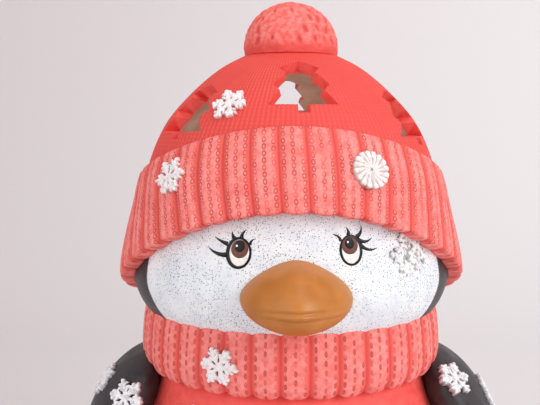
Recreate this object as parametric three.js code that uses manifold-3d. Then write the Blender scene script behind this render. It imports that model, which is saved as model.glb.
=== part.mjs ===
// Hollow slip-cast penguin lantern in a knitted hat and sweater, standing over a battery LED light.
// Millimetres, +Z up, origin on the table at the middle of the footprint, beak towards -Y.
import * as THREE from "three";
import { mergeVertices } from "three/addons/utils/BufferGeometryUtils.js";
import Module from "manifold-3d";

const wasm = await Module();
wasm.setup();

// ---- driving dimensions ----
const WALL = 6.4; // cast wall of the hollow figure
const GAP = 0.3; // luting gap between two castings
const DEPTH = 0.95; // front-to-back share of every round casting
const SIDES = 34; // facets round a casting

const BODY_HEIGHT = 149; // table to the top of the shoulders
const BELLY_R = 85;
const FOOT_RING_R = 72;
const NECK_R = 44; // clear way for the light from the body into the head
const SHOULDER_R = NECK_R + 13; // flat ring at the top of the body that the head stands on
const HEAD_LOW = BODY_HEIGHT + 1;
const HEAD_HEIGHT = 133.5;
const HEAD_R = 74.5;
const CROWN_TOP = HEAD_LOW + HEAD_HEIGHT;
const COLLAR = { inset: 2, drop: 12.5, rise: 18.5 }; // inside the cheeks, below and above the shoulders
const COLLAR_R = HEAD_R - COLLAR.inset;
const COLLAR_LOW = BODY_HEIGHT - COLLAR.drop;
const COLLAR_HIGH = BODY_HEIGHT + COLLAR.rise;
const BOBBLE = { r: 22.7, lift: 3.8, squash: 0.94, wall: 5 }; // lift of its centre above the crown
const BOBBLE_Z = CROWN_TOP + BOBBLE.lift;
const HAT_VENT_R = 11; // hole between the hat and the hollow bobble
const CUFF = { thick: 8.4, taper: 0.62, bite: 3 }; // taper: share of the thickness lost at the top edge
const CUFF_BACK = { low: COLLAR_HIGH + 3.5, high: CROWN_TOP - 72.5 }; // edges of the brim at the nape
const CUFF_RISE = { low: 44, high: 38.6 }; // how much higher both edges are over the forehead
const CUFF_BEND = { low: 1.12, high: 1.5 }; // how late the edges climb on their way to the front
const SEAM_TILT = Math.atan(0.37); // slope of the joint between head and hat, hidden by the cuff
const SEAM_Z = (CUFF_BACK.low + CUFF_BACK.high) / 2 + 15;

const WINDOWS = [-60, 0, 60, 180]; // three on the face side and one behind
const WINDOW_TURN = 4; // degrees from the beak round to the first
const WINDOW_EYE_Z = CROWN_TOP - 35.5; // the windows are cut towards this point on the axis
const WINDOW_REACH = HEAD_R - 17.5; // the tree's own size is met this far out
const WINDOW_CUT = { near: HEAD_R - 40.5, far: HEAD_R + 9.5 }; // the cut runs between these
const WINDOW_LIFT = { mean: 7.3, swing: 9.9 }; // degrees above level, highest in front and behind
const TREE = { tip: 23.8, width: 32.4, trunk: 5.2, trunkDrop: 8.2, stretch: 0.21, skirt: 0.19 };

const BEAK = { halfWidth: 22.8, up: 15, down: 11, z: HEAD_LOW + 31, reach: 28, root: 12 };
const BEAK_FORM = { peak: 0.35, sweep: 0.3, nod: 3 }; // narrower top, swept-back corners, lifted tip
const FLIPPER = { drop: 8, tip: 46, thick: 10, halfWidth: 39, forward: 6, out: 16.5 };
const FLIPPER_ROOT = { x: Math.min(SHOULDER_R + 4.5, COLLAR_R - 11), elbowIn: 4, elbowDrop: 15 };
const FLIPPER_FORM = { wide: 1.12, deep: 1.2, shrink: 0.5 }; // broad and thick at the shoulder
const REACH = BELLY_R + 13; // toes in front and tail tip behind, from the axis
const FOOT = { length: 52, width: 50, height: 15, splay: 12, x: 36, round: 5, toes: 3, web: 0.1 };
const TAIL = { length: 24, width: 20, height: 11, z: 25, lift: 20 };
const FLAKE = { size: 15.5, relief: 1.6, root: 3, shoulder: 0.86, notch: 0.45 };
const FLAKE_LARGE = 17;
const FLAKE_CHEEK = 19;
const ROSETTE = { arms: 8, notch: 0.8 };

const CELL = { r: 5.25, length: 44.5, space: 1.1, cap: 1.9, capLength: 1, count: 3 };
const BAY = { wall: 1.5, springRoom: 8.5, sideRoom: 1.4, under: 0.55, over: 0.75 };
const LIGHT = { wall: 2, deckRoom: 1.5, plateLow: 0.6, plate: 1.6, wireHoleR: 3 };
const CELL_PITCH = 2 * CELL.r + CELL.space;
const CELL_Z = LIGHT.plateLow + LIGHT.plate + BAY.under + CELL.r;
const BAY_LENGTH = CELL.length + BAY.springRoom;
const BAY_WIDTH = (CELL.count - 1) * CELL_PITCH + 2 * CELL.r + 2 * BAY.sideRoom;
const BAY_TOP = CELL_Z + CELL.r + BAY.over;
const BAY_OUT = { x: BAY_LENGTH / 2 + BAY.wall, y: BAY_WIDTH / 2 + BAY.wall };
const LIGHT_R = Math.ceil(Math.hypot(BAY_OUT.x, BAY_OUT.y) + LIGHT.wall + GAP); // goes round the bay
const LIGHT_HIGH = BAY_TOP + BAY.wall + LIGHT.deckRoom + LIGHT.wall;
const BASE_HOLE_R = LIGHT_R + 5; // finger room round the light
const LENS = { height: 15, wall: 1.6, rim: 2, lean: 1.5, shoulder: 12 };
const LENS_RISE = { lean: 0.4, shoulder: 0.83 }; // shares of the lens height
const BOARD = { r: LIGHT_R - 11, thick: 1.6 };
const STRIP = { thick: 0.5, height: 2 * CELL.r - 1.5, short: 2 };
const THUMB = { r: 7, x: BAY_LENGTH / 2 - 7.5, deep: 0.8 }; // hollow in the door for a fingernail
const SWITCH = { x: 9, y: BAY_OUT.y + 4.75, travel: 3, length: 4, width: 3.6, height: 2.6, body: 5 };
const SCREW = { x: 14, y: BAY_OUT.y + 6.25, r: 1.1, headR: 2.2, head: 1.2, length: LIGHT_HIGH - 7 };
const LED = { length: 3.5, width: 2.8, height: 1.5, circle: 9, count: 3 };
const SPRING = { turns: 2.5, wire: 0.35, r: CELL.r - 2.15, cone: 0.6 };
const LIGHT_SIDES = 28;

// ---- materials ----
const finish = (color, roughness, metalness = 0) =>
  new THREE.MeshStandardMaterial({ color, roughness, metalness });
const PAINT = {
  red: finish(0xef5a50, 0.7),
  white: finish(0xe9ecf0, 0.8),
  black: finish(0x3a3436, 0.6),
  orange: finish(0xc8843f, 0.55),
  snow: finish(0xf2eef0, 0.8),
};
const ABS_WHITE = finish(0xe8e6e0, 0.45);
const FROSTED = finish(0xf6efe0, 0.35);
const BOARD_GREEN = finish(0x1f5c3a, 0.5);
const LED_YELLOW = finish(0xf2d469, 0.3);
const CELL_SLEEVE = finish(0x3b5c7a, 0.35);
const NICKEL = finish(0xc9c9c4, 0.3, 1);
const SWITCH_BLACK = finish(0x222222, 0.5);

// ---- solids ----
const model = new THREE.Group();

function solid(geometry) {
  const bare = geometry.index ? geometry.toNonIndexed() : geometry.clone();
  for (const name of Object.keys(bare.attributes)) {
    if (name !== "position") bare.deleteAttribute(name);
  }
  const merged = mergeVertices(bare, 1e-3);
  const corners = merged.index.array;
  const triangles = [];
  for (let i = 0; i < corners.length; i += 3) {
    const [a, b, c] = corners.slice(i, i + 3);
    if (a !== b && b !== c && a !== c) triangles.push(a, b, c);
  }
  const make = (list) =>
    new wasm.Manifold(
      new wasm.Mesh({
        numProp: 3,
        vertProperties: merged.attributes.position.array,
        triVerts: new Uint32Array(list),
      }),
    );
  const made = make(triangles);
  return made.volume() > 0 ? made : make(triangles.reverse());
}

function add(name, shape, material) {
  const { numVert, numProp, vertProperties, triVerts } = shape.getMesh();
  const position = new Float32Array(numVert * 3);
  for (let i = 0; i < numVert; i++) {
    position.set(vertProperties.subarray(i * numProp, i * numProp + 3), i * 3);
  }
  const geometry = new THREE.BufferGeometry();
  geometry.setAttribute("position", new THREE.BufferAttribute(position, 3));
  geometry.setIndex(new THREE.BufferAttribute(triVerts, 1));
  geometry.computeVertexNormals();
  const mesh = new THREE.Mesh(geometry, material);
  mesh.name = name;
  model.add(mesh);
  return shape;
}

const rad = THREE.MathUtils.degToRad;

// A closed outline of [radius, height] pairs turned about Z and flattened front to back.
function turned(outline, { sides = SIDES, depth = DEPTH } = {}) {
  const points = outline.map(([r, z]) => new THREE.Vector2(r, z));
  if (points[0].x > 0) points.push(points[0].clone());
  return solid(
    new THREE.LatheGeometry(points, sides).rotateX(Math.PI / 2).scale(1, depth, 1),
  );
}

// A smooth run of count points through a few control points.
function smooth(controls, count) {
  const curve = new THREE.SplineCurve(controls.map(([r, z]) => new THREE.Vector2(r, z)));
  return curve.getSpacedPoints(count - 1).map((p) => [p.x, p.y]);
}

// The run moved sideways by distance, outwards where positive, for a run that climbs.
function offset(run, distance) {
  return run.map(([r, z], i) => {
    const [r0, z0] = run[Math.max(i - 1, 0)];
    const [r1, z1] = run[Math.min(i + 1, run.length - 1)];
    const length = Math.hypot(r1 - r0, z1 - z0);
    return [r + (distance * (z1 - z0)) / length, z - (distance * (r1 - r0)) / length];
  });
}

// Radius of a run at a height.
function radiusAt(run, z) {
  const i = Math.max(1, run.findIndex((p) => p[1] >= z));
  const [r0, z0] = run[i - 1];
  const [r1, z1] = run[i];
  return r0 + ((r1 - r0) * (z - z0)) / (z1 - z0);
}

const cylinder = (r, low, high, sides = 32) =>
  solid(
    new THREE.CylinderGeometry(r, r, high - low, sides)
      .rotateX(Math.PI / 2)
      .translate(0, 0, (low + high) / 2),
  );
const block = (x, y, z, cx, cy, cz) =>
  solid(new THREE.BoxGeometry(x, y, z).translate(cx, cy, cz));

// ---- hollow castings ----
const bodyRun = smooth(
  [
    [FOOT_RING_R, 0],
    [FOOT_RING_R + 6, 16],
    [BELLY_R - 2, 40],
    [BELLY_R, 62],
    [BELLY_R - 6, BODY_HEIGHT - 53],
    [SHOULDER_R + 10, BODY_HEIGHT - 19],
    [SHOULDER_R, BODY_HEIGHT],
  ],
  11,
);
const HEAD_STEPS = 267; // the head's outline is drawn on this many equal steps of its height
const skullRun = smooth(
  [
    [NECK_R + WALL, 0],
    [HEAD_R - 7, 26],
    [HEAD_R - 1, 52],
    [HEAD_R, 76],
    [HEAD_R - 3, 124],
    [HEAD_R - 6, 162],
    [HEAD_R - 14, 200],
    [HEAD_R - 26, 229],
    [BOBBLE.r + 11.8, 253],
    [BOBBLE.r - 1.2, HEAD_STEPS],
  ].map(([r, step]) => [r, HEAD_LOW + (HEAD_HEIGHT * step) / HEAD_STEPS]),
  17,
);

// The filled outer shape of a run, grown by a clearance.
const filled = (run, grow = 0) => {
  const outer = offset(run, grow);
  const low = outer[0][1] - grow;
  const high = outer.at(-1)[1] + grow;
  return turned([[0, low], [outer[0][0], low], ...outer, [outer.at(-1)[0], high], [0, high]]);
};

function bodyCasting() {
  const inner = offset(bodyRun, -WALL).filter(([, z]) => z > WALL && z < BODY_HEIGHT - WALL);
  return turned([
    ...bodyRun,
    [NECK_R, BODY_HEIGHT],
    [NECK_R, BODY_HEIGHT - WALL],
    ...inner.reverse(),
    [radiusAt(bodyRun, WALL) - WALL, WALL],
    [BASE_HOLE_R, WALL],
    [BASE_HOLE_R, 0],
  ]);
}

function skullShell() {
  const inner = offset(skullRun, -WALL).filter(
    ([, z]) => z > HEAD_LOW + 3 && z < CROWN_TOP - WALL - 1,
  );
  return turned([
    ...skullRun,
    [HAT_VENT_R, CROWN_TOP],
    [HAT_VENT_R, CROWN_TOP - WALL],
    ...inner.reverse(),
    [NECK_R, HEAD_LOW],
  ]);
}

// Everything above the tilted joint plane, moved up by rise.
function aboveSeam(rise) {
  const size = 400;
  return solid(
    new THREE.BoxGeometry(size, size, size)
      .translate(0, 0, size / 2)
      .rotateX(-SEAM_TILT)
      .translate(0, 0, SEAM_Z + rise),
  );
}

// ---- tree windows ----
function treeShape(stretch) {
  const half = TREE.width / 2;
  const tip = TREE.tip * stretch;
  const skirt = -TREE.skirt * tip;
  const edge = [
    [0, tip],
    [0.75 * half, 0.74 * tip],
    [0.52 * half, 0.59 * tip],
    [0.91 * half, 0.25 * tip],
    [0.68 * half, 0.1 * tip],
    [half, skirt],
    [TREE.trunk / 2, skirt - 0.5],
    [TREE.trunk / 2, -TREE.trunkDrop * stretch],
  ];
  const mirrored = edge.slice(1).reverse().map(([x, y]) => [-x, y]);
  return new THREE.Shape([...edge, ...mirrored].map(([x, y]) => new THREE.Vector2(x, y)));
}

// A tree-shaped cutter that tapers towards the point on the axis where the cuts would meet.
function treeCutter(azimuth) {
  const sway = Math.cos(2 * azimuth);
  const elevation = rad(WINDOW_LIFT.mean + WINDOW_LIFT.swing * sway);
  const out = new THREE.Vector3(
    Math.sin(azimuth) * Math.cos(elevation),
    -Math.cos(azimuth) * Math.cos(elevation),
    Math.sin(elevation),
  );
  const right = new THREE.Vector3(Math.cos(azimuth), Math.sin(azimuth), 0);
  const up = new THREE.Vector3().crossVectors(out, right);
  const tree = treeShape(1 + TREE.stretch * sway);
  const geometry = new THREE.ExtrudeGeometry(tree, { depth: 1, bevelEnabled: false });
  const place = geometry.attributes.position;
  const point = new THREE.Vector3();
  for (let i = 0; i < place.count; i++) {
    const distance = THREE.MathUtils.lerp(WINDOW_CUT.near, WINDOW_CUT.far, place.getZ(i));
    const share = distance / WINDOW_REACH;
    point
      .set(0, 0, WINDOW_EYE_Z)
      .addScaledVector(out, distance)
      .addScaledVector(right, place.getX(i) * share)
      .addScaledVector(up, place.getY(i) * share);
    place.setXYZ(i, point.x, point.y * DEPTH, point.z);
  }
  return solid(geometry);
}

// ---- the turned-up cuff ----
const towardsFront = (x, y) => -y / DEPTH / Math.hypot(x, y / DEPTH);
function cuffEdges(x, y) {
  const front = towardsFront(x, y);
  return {
    low: CUFF_BACK.low + CUFF_RISE.low * Math.max(0, front) ** CUFF_BEND.low,
    high: CUFF_BACK.high + CUFF_RISE.high * ((1 + front) / 2) ** CUFF_BEND.high,
  };
}

// How far the cuff stands out from the head, from its lower edge (0) to its upper edge (1).
const cuffStand = (share) => CUFF.thick * (1 - CUFF.taper * share ** 1.2);

function cuffRing(grow = 0) {
  const steps = 7;
  const outline = [[0.5, 0]];
  for (let i = 0; i <= steps; i++) outline.push([1, i / steps]);
  outline.push([0.5, 1]);
  const ring = new THREE.LatheGeometry(
    [...outline, outline[0]].map(([r, t]) => new THREE.Vector2(r, t)),
    SIDES,
  ).rotateX(Math.PI / 2);
  const place = ring.attributes.position;
  for (let i = 0; i < place.count; i++) {
    const [x, y] = [place.getX(i), place.getY(i)];
    const share = THREE.MathUtils.clamp(place.getZ(i), 0, 1);
    const reach = Math.hypot(x, y);
    const edge = cuffEdges(x, y * DEPTH);
    const low = edge.low - grow;
    const z = low + (edge.high + grow - low) * share;
    const rounding = Math.min(1, 0.35 + 4 * Math.min(share, 1 - share));
    const outer = radiusAt(skullRun, z) + grow + cuffStand(share) * rounding;
    const r = reach > 0.75 ? outer : radiusAt(skullRun, z) - CUFF.bite;
    place.setXYZ(i, (x / reach) * r, (y / reach) * r * DEPTH, z);
  }
  return solid(ring);
}

// ---- soft, warped blobs ----
// A unit sphere whose points are moved by a function.
function warpedBall(move, across = 22, down = 14) {
  const ball = new THREE.SphereGeometry(1, across, down).rotateX(Math.PI / 2);
  const place = ball.attributes.position;
  for (let i = 0; i < place.count; i++) {
    const p = move(place.getX(i), place.getY(i), place.getZ(i));
    place.setXYZ(i, ...p);
  }
  return solid(ball);
}

const flipperX = BELLY_R + FLIPPER.out;
const flipperTop = BODY_HEIGHT - FLIPPER.drop;
const flipperSpine = new THREE.QuadraticBezierCurve(
  new THREE.Vector2(FLIPPER_ROOT.x, flipperTop),
  new THREE.Vector2(flipperX - FLIPPER_ROOT.elbowIn, flipperTop - FLIPPER_ROOT.elbowDrop),
  new THREE.Vector2(flipperX, FLIPPER.tip),
);

// Where a point of the unit sphere lands on a flipper, which hugs the side of the body.
function flipperPlace(side, x, y, z) {
  const t = THREE.MathUtils.clamp((1 - z) / 2, 0, 1);
  const at = flipperSpine.getPoint(t);
  const along = flipperSpine.getTangent(t);
  const ring = Math.hypot(x, y) || 1;
  const taper = Math.sqrt(Math.max(0, 1 - z * z)) / ring;
  const across = y * FLIPPER.halfWidth * taper * (FLIPPER_FORM.wide - FLIPPER_FORM.shrink * t);
  const thick = x * FLIPPER.thick * taper * (FLIPPER_FORM.deep - FLIPPER_FORM.shrink * t);
  const hug = across ** 2 / (2 * BELLY_R);
  return [side * (at.x - along.y * thick - hug), across - FLIPPER.forward, at.y + along.x * thick];
}

const flipper = (side) => warpedBall((x, y, z) => flipperPlace(side, x, y, z));

function beak() {
  return warpedBall((x, y, z) => {
    const narrow = 1 - BEAK_FORM.peak * Math.max(0, z) ** 1.5;
    const lift = z > 0 ? BEAK.up * z : BEAK.down * z;
    const front = -radiusAt(skullRun, BEAK.z) * DEPTH;
    const reach = y < 0 ? BEAK.reach * (1 - BEAK_FORM.sweep * Math.abs(x)) : BEAK.root;
    return [x * BEAK.halfWidth * narrow, front + y * reach, BEAK.z + lift + y * BEAK_FORM.nod];
  }, 24, 14);
}

function tail() {
  const ball = new THREE.SphereGeometry(1, 16, 10)
    .scale(TAIL.width, TAIL.length, TAIL.height)
    .rotateX(rad(TAIL.lift));
  ball.computeBoundingBox();
  return solid(ball.translate(0, REACH - ball.boundingBox.max.y, TAIL.z));
}

// A webbed foot of three toes, rounded over the top.
function foot(side) {
  const outline = new THREE.Shape();
  const count = 36;
  const bevel = FOOT.round;
  const half = FOOT.width / 2 - bevel;
  for (let i = 0; i < count; i++) {
    const a = (2 * Math.PI * i) / count;
    const ahead = Math.max(0, -Math.sin(a));
    const toes = 1 + FOOT.web * Math.cos(2 * FOOT.toes * (a + Math.PI / 2)) * ahead;
    const p = [Math.cos(a) * half * toes, Math.sin(a) * (FOOT.length / 2 - bevel) * toes];
    if (i) outline.lineTo(...p);
    else outline.moveTo(...p);
  }
  outline.closePath();
  const pad = new THREE.ExtrudeGeometry(outline, {
    depth: FOOT.height - 2 * bevel,
    bevelSize: bevel,
    bevelThickness: bevel,
    bevelSegments: 2,
    curveSegments: 1,
  })
    .translate(0, 0, bevel)
    .rotateZ(rad(side * FOOT.splay));
  pad.computeBoundingBox();
  return solid(pad.translate(side * FOOT.x, -REACH - pad.boundingBox.min.y, 0));
}

// ---- relief snowflakes ----
function flakeShape(size, arms, notch) {
  const points = [];
  const corners = arms * 4;
  for (let i = 0; i < corners; i++) {
    const a = (2 * Math.PI * i) / corners;
    const r = (size / 2) * [1, FLAKE.shoulder, notch, FLAKE.shoulder][i % 4];
    points.push(new THREE.Vector2(r * Math.sin(a), r * Math.cos(a)));
  }
  return new THREE.Shape(points);
}

// A flake standing on a point of a surface, its root sunk in it. The caller cuts the root away.
function flakeAt({ at, normal }, { size = FLAKE.size, arms = 6, notch = FLAKE.notch }) {
  const plate = new THREE.ExtrudeGeometry(flakeShape(size, arms, notch), {
    depth: FLAKE.root + FLAKE.relief,
    bevelEnabled: false,
  }).translate(0, 0, -FLAKE.root);
  const turn = new THREE.Quaternion().setFromUnitVectors(new THREE.Vector3(0, 0, 1), normal);
  plate.applyQuaternion(turn).translate(at.x, at.y, at.z);
  return solid(plate);
}

// Point and outward normal of a surface given as radius(azimuth, z), flattened front to back.
function spot(radius, degrees, z) {
  const a = rad(degrees);
  const point = (angle, height) => {
    const r = radius(angle, height);
    return new THREE.Vector3(r * Math.sin(angle), -r * Math.cos(angle) * DEPTH, height);
  };
  const at = point(a, z);
  const across = point(a + 0.05, z).sub(point(a - 0.05, z));
  const rising = point(a, z + 2).sub(point(a, z - 2));
  return { at, normal: across.cross(rising).normalize() };
}

// A spot on a flipper, at a share of its length and an angle from outermost towards the front.
function flipperSpot(side, share, degrees) {
  const point = (t, angle) => {
    const z = 1 - 2 * t;
    const ring = Math.sqrt(1 - z * z);
    const place = flipperPlace(side, ring * Math.cos(angle), -ring * Math.sin(angle), z);
    return new THREE.Vector3(...place);
  };
  const a = rad(degrees);
  const at = point(share, a);
  const down = point(share + 0.02, a).sub(point(share - 0.02, a));
  const forward = point(share, a + 0.05).sub(point(share, a - 0.05));
  return { at, normal: forward.cross(down).multiplyScalar(side).normalize() };
}

const onBody = (a, z) => radiusAt(bodyRun, z);
const onSkull = (a, z) => radiusAt(skullRun, z);
const onCuff = (a, z) => {
  const { low, high } = cuffEdges(Math.sin(a), -Math.cos(a) * DEPTH);
  return radiusAt(skullRun, z) + cuffStand((z - low) / (high - low));
};

// ---- the figure ----
const skull = skullShell();
const skullCut = filled(skullRun, GAP);
const bodyCut = filled(bodyRun, GAP);

add("body_casting", bodyCasting(), PAINT.red);

const windowCutters = WINDOWS.map((turn) => treeCutter(rad(WINDOW_TURN + turn)));
add("head_casting", skull.subtract(aboveSeam(-GAP / 2)), PAINT.white);
const crown = windowCutters.reduce(
  (shape, cutter) => shape.subtract(cutter),
  skull.intersect(aboveSeam(GAP / 2)),
);
add("hat_crown", crown, PAINT.red);
add("hat_cuff", cuffRing().subtract(skullCut), PAINT.red);

const collarRun = (grow) => [
  [SHOULDER_R - 0.5, COLLAR_LOW + 5 - grow],
  [COLLAR_R - 6, COLLAR_LOW - grow],
  [COLLAR_R - 2 + grow, COLLAR_LOW + 2],
  [COLLAR_R + grow, COLLAR_LOW + 8],
  [COLLAR_R + grow, COLLAR_HIGH - 4],
  [COLLAR_R - 1.5 + grow, COLLAR_HIGH - 1],
  [COLLAR_R - 3.5, COLLAR_HIGH + grow],
  [SHOULDER_R - 0.5, COLLAR_HIGH + grow],
];
const collarCut = turned(collarRun(GAP));
add("collar", turned(collarRun(0)).subtract(skullCut).subtract(bodyCut), PAINT.red);

const ball = (r) =>
  solid(
    new THREE.SphereGeometry(r, 20, 12)
      .rotateX(Math.PI / 2)
      .scale(1, 1, BOBBLE.squash)
      .translate(0, 0, BOBBLE_Z),
  );
add(
  "bobble",
  ball(BOBBLE.r)
    .subtract(ball(BOBBLE.r - BOBBLE.wall))
    .subtract(cylinder(HAT_VENT_R, BOBBLE_Z - BOBBLE.r, BOBBLE_Z, 20))
    .subtract(skullCut),
  PAINT.red,
);

add("beak", beak().subtract(skullCut).subtract(collarCut), PAINT.orange);
const flipperShapes = {};
for (const [name, side] of [["left", -1], ["right", 1]]) {
  const shape = flipper(side).subtract(bodyCut).subtract(collarCut).subtract(skullCut);
  add("flipper_" + name, shape, PAINT.black);
  flipperShapes[name] = warpedBall((x, y, z) => {
    const [fx, fy, fz] = flipperPlace(side, x, y, z);
    return [fx + side * GAP, fy, fz];
  }).add(shape);
  add("foot_" + name, foot(side).subtract(bodyCut), PAINT.orange);
}
add("tail", tail().subtract(bodyCut), PAINT.black);

// ---- snowflakes on the figure ----
const cuffCut = cuffRing(GAP);
// A spot on the cuff at a share of its height there.
const cuffSpot = (degrees, share) => {
  const a = rad(degrees);
  const { low, high } = cuffEdges(Math.sin(a), -Math.cos(a) * DEPTH);
  return spot(onCuff, degrees, THREE.MathUtils.lerp(low, high, share));
};
const collarR = (a, z) => (z > COLLAR_LOW + 8 ? COLLAR_R : COLLAR_R - 1);
const large = { size: FLAKE_LARGE };
const flakes = [
  ["snowflake_crown_front", spot(onSkull, -30.7, CROWN_TOP - 25), [skullCut], {}],
  ["snowflake_crown_back", spot(onSkull, 150, CROWN_TOP - 43.5), [skullCut], {}],
  ["snowflake_cuff_left", cuffSpot(-45, 0.668), [cuffCut, skullCut], {}],
  ["rosette_cuff_right", cuffSpot(24.2, 0.577), [cuffCut, skullCut], ROSETTE],
  ["snowflake_cuff_back", cuffSpot(200, 0.524), [cuffCut, skullCut], {}],
  ["snowflake_cheek", spot(onSkull, 40.5, HEAD_LOW + 44), [skullCut, cuffCut], { size: FLAKE_CHEEK }],
  ["snowflake_collar", spot(collarR, -26, COLLAR_LOW + 13.5), [collarCut, bodyCut, skullCut], {}],
  ["snowflake_sweater_right", spot(onBody, 24, BODY_HEIGHT - 28), [bodyCut], large],
  ["snowflake_sweater_left", spot(onBody, -42, BODY_HEIGHT - 29), [bodyCut], large],
  ["snowflake_sweater_middle", spot(onBody, -9, BODY_HEIGHT - 56), [bodyCut], large],
  ["snowflake_sweater_low", spot(onBody, 26, BODY_HEIGHT - 81), [bodyCut], large],
  ["snowflake_sweater_back", spot(onBody, 168, BODY_HEIGHT - 41), [bodyCut], large],
];
for (const [name, side] of [["left", -1], ["right", 1]]) {
  const shoulder = side < 0 ? [0.29, 78] : [0.21, 60];
  const outer = side < 0 ? [0.33, 18] : [0.42, 12];
  [shoulder, outer, [0.62, 30]].forEach(([share, angle], i) => {
    const place = flipperSpot(side, share, angle);
    const cuts = [flipperShapes[name], bodyCut, collarCut, skullCut];
    flakes.push([`snowflake_flipper_${name}_${i + 1}`, place, cuts, {}]);
  });
}
for (const [name, place, cuts, style] of flakes) {
  add(name, cuts.reduce((shape, cut) => shape.subtract(cut), flakeAt(place, style)), PAINT.snow);
}

// ---- LED light standing in the base hole ----
const deckLow = LIGHT_HIGH - LIGHT.wall;
const plateTop = LIGHT.plateLow + LIGHT.plate;
const boardLow = LIGHT_HIGH + GAP;
const boardTop = boardLow + BOARD.thick;
const screwPlaces = [-1, 1].map((side) => [side * SCREW.x, -SCREW.y]);

const wireHole = cylinder(LIGHT.wireHoleR, -1, LIGHT_HIGH + LENS.height, 12);
const screwHoles = screwPlaces.map(([x, y]) =>
  cylinder(SCREW.r + GAP, -1, deckLow, 12).translate([x, y, 0]),
);
const headHoles = screwPlaces.map(([x, y]) =>
  cylinder(SCREW.headR + GAP, -1, LIGHT.plateLow + SCREW.head, 12).translate([x, y, 0]),
);

// Round case: side wall, deck under the lens and two screw posts.
function lightCase() {
  const bowl = cylinder(LIGHT_R, 0, LIGHT_HIGH, LIGHT_SIDES).subtract(
    cylinder(LIGHT_R - LIGHT.wall, -1, deckLow, LIGHT_SIDES),
  );
  const posts = screwPlaces.map(([x, y]) =>
    cylinder(SCREW.headR + 1, plateTop + GAP, deckLow + 1, 16).translate([x, y, 0]),
  );
  const solidCase = posts.reduce((shape, post) => shape.add(post), bowl);
  return screwHoles.reduce((shape, hole) => shape.subtract(hole), solidCase.subtract(wireHole));
}

// Base plate that carries the battery bay, open below for the door.
function lightBase() {
  const plate = cylinder(LIGHT_R - LIGHT.wall - GAP, LIGHT.plateLow, plateTop, LIGHT_SIDES);
  const bayHigh = BAY_TOP + BAY.wall;
  const box = block(
    2 * BAY_OUT.x,
    2 * BAY_OUT.y,
    bayHigh - LIGHT.plateLow,
    0,
    0,
    (bayHigh + LIGHT.plateLow) / 2,
  );
  const room = block(BAY_LENGTH, BAY_WIDTH, 2 * BAY_TOP, 0, 0, 0);
  const slot = block(
    SWITCH.length + SWITCH.travel + 2 * GAP,
    SWITCH.width + 2 * GAP,
    2 * SWITCH.body,
    SWITCH.x,
    SWITCH.y,
    0,
  );
  const whole = plate.add(box).subtract(room).subtract(slot).subtract(wireHole);
  return [...screwHoles, ...headHoles].reduce((shape, hole) => shape.subtract(hole), whole);
}

add("light_case", lightCase(), ABS_WHITE);
add("light_base", lightBase(), ABS_WHITE);

const lensRun = smooth(
  [
    [LIGHT_R - LENS.rim, boardLow],
    [LIGHT_R - LENS.rim - LENS.lean, boardLow + LENS_RISE.lean * LENS.height],
    [LIGHT_R - LENS.shoulder, boardLow + LENS_RISE.shoulder * LENS.height],
    [0, boardLow + LENS.height],
  ],
  6,
);
const lensInside = lensRun.map(([r, z]) => [
  r * (1 - LENS.wall / LIGHT_R),
  boardLow + (z - boardLow) * (1 - LENS.wall / LENS.height),
]);
add(
  "light_lens",
  turned([...lensInside.slice(0, 1), ...lensRun, ...lensInside.slice(1).reverse()], {
    sides: LIGHT_SIDES,
    depth: 1,
  }),
  FROSTED,
);
add("led_board", cylinder(BOARD.r, boardLow, boardTop).subtract(wireHole), BOARD_GREEN);
for (let i = 0; i < LED.count; i++) {
  const a = (2 * Math.PI * i) / LED.count;
  const [x, y] = [LED.circle * Math.cos(a), LED.circle * Math.sin(a)];
  const z = boardTop + GAP + LED.height / 2;
  add("led_" + (i + 1), block(LED.length, LED.width, LED.height, x, y, z), LED_YELLOW);
}

// A cell lying along X with its cap towards way.
function cell(way, endX, y) {
  const half = CELL.length / 2;
  const outline = [
    [0, -half],
    [CELL.r, -half],
    [CELL.r, half - CELL.capLength],
    [CELL.cap, half - CELL.capLength],
    [CELL.cap, half],
    [0, half],
  ];
  return solid(
    new THREE.LatheGeometry(outline.map((p) => new THREE.Vector2(...p)), 20)
      .rotateZ((-way * Math.PI) / 2)
      .translate(way * (endX - half), y, CELL_Z),
  );
}

// A conical contact spring that fills the way from x = from to x = to.
function contactSpring(from, to, y) {
  const way = Math.sign(to - from);
  const first = from + way * SPRING.wire;
  const last = to - way * SPRING.wire;
  const coil = new THREE.Curve();
  coil.getPoint = (t) => {
    const turn = 2 * Math.PI * SPRING.turns * t;
    const r = SPRING.r * (SPRING.cone + (1 - SPRING.cone) * t);
    const x = first + (last - first) * t;
    return new THREE.Vector3(x, y + r * Math.cos(turn), CELL_Z + r * Math.sin(turn));
  };
  const wire = new THREE.Shape().absarc(0, 0, SPRING.wire, 0, 2 * Math.PI);
  const settings = { steps: 24, extrudePath: coil, curveSegments: 3 };
  return solid(new THREE.ExtrudeGeometry(wire, settings));
}

const stripX = BAY_LENGTH / 2 - GAP - STRIP.thick / 2;
const endX = stripX - STRIP.thick / 2 - GAP;
for (const row of [-1, 0, 1]) {
  const way = row === 0 ? -1 : 1;
  const y = row * CELL_PITCH;
  const cellBack = way * (endX - CELL.length - GAP);
  add("battery_" + (row + 2), cell(way, endX, y), CELL_SLEEVE);
  add("battery_spring_" + (row + 2), contactSpring(cellBack, -way * endX, y), NICKEL);
}
for (const [name, side] of [["left", -1], ["right", 1]]) {
  const strip = block(STRIP.thick, BAY_WIDTH - STRIP.short, STRIP.height, side * stripX, 0, CELL_Z);
  add("contact_strip_" + name, strip, NICKEL);
}

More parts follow.
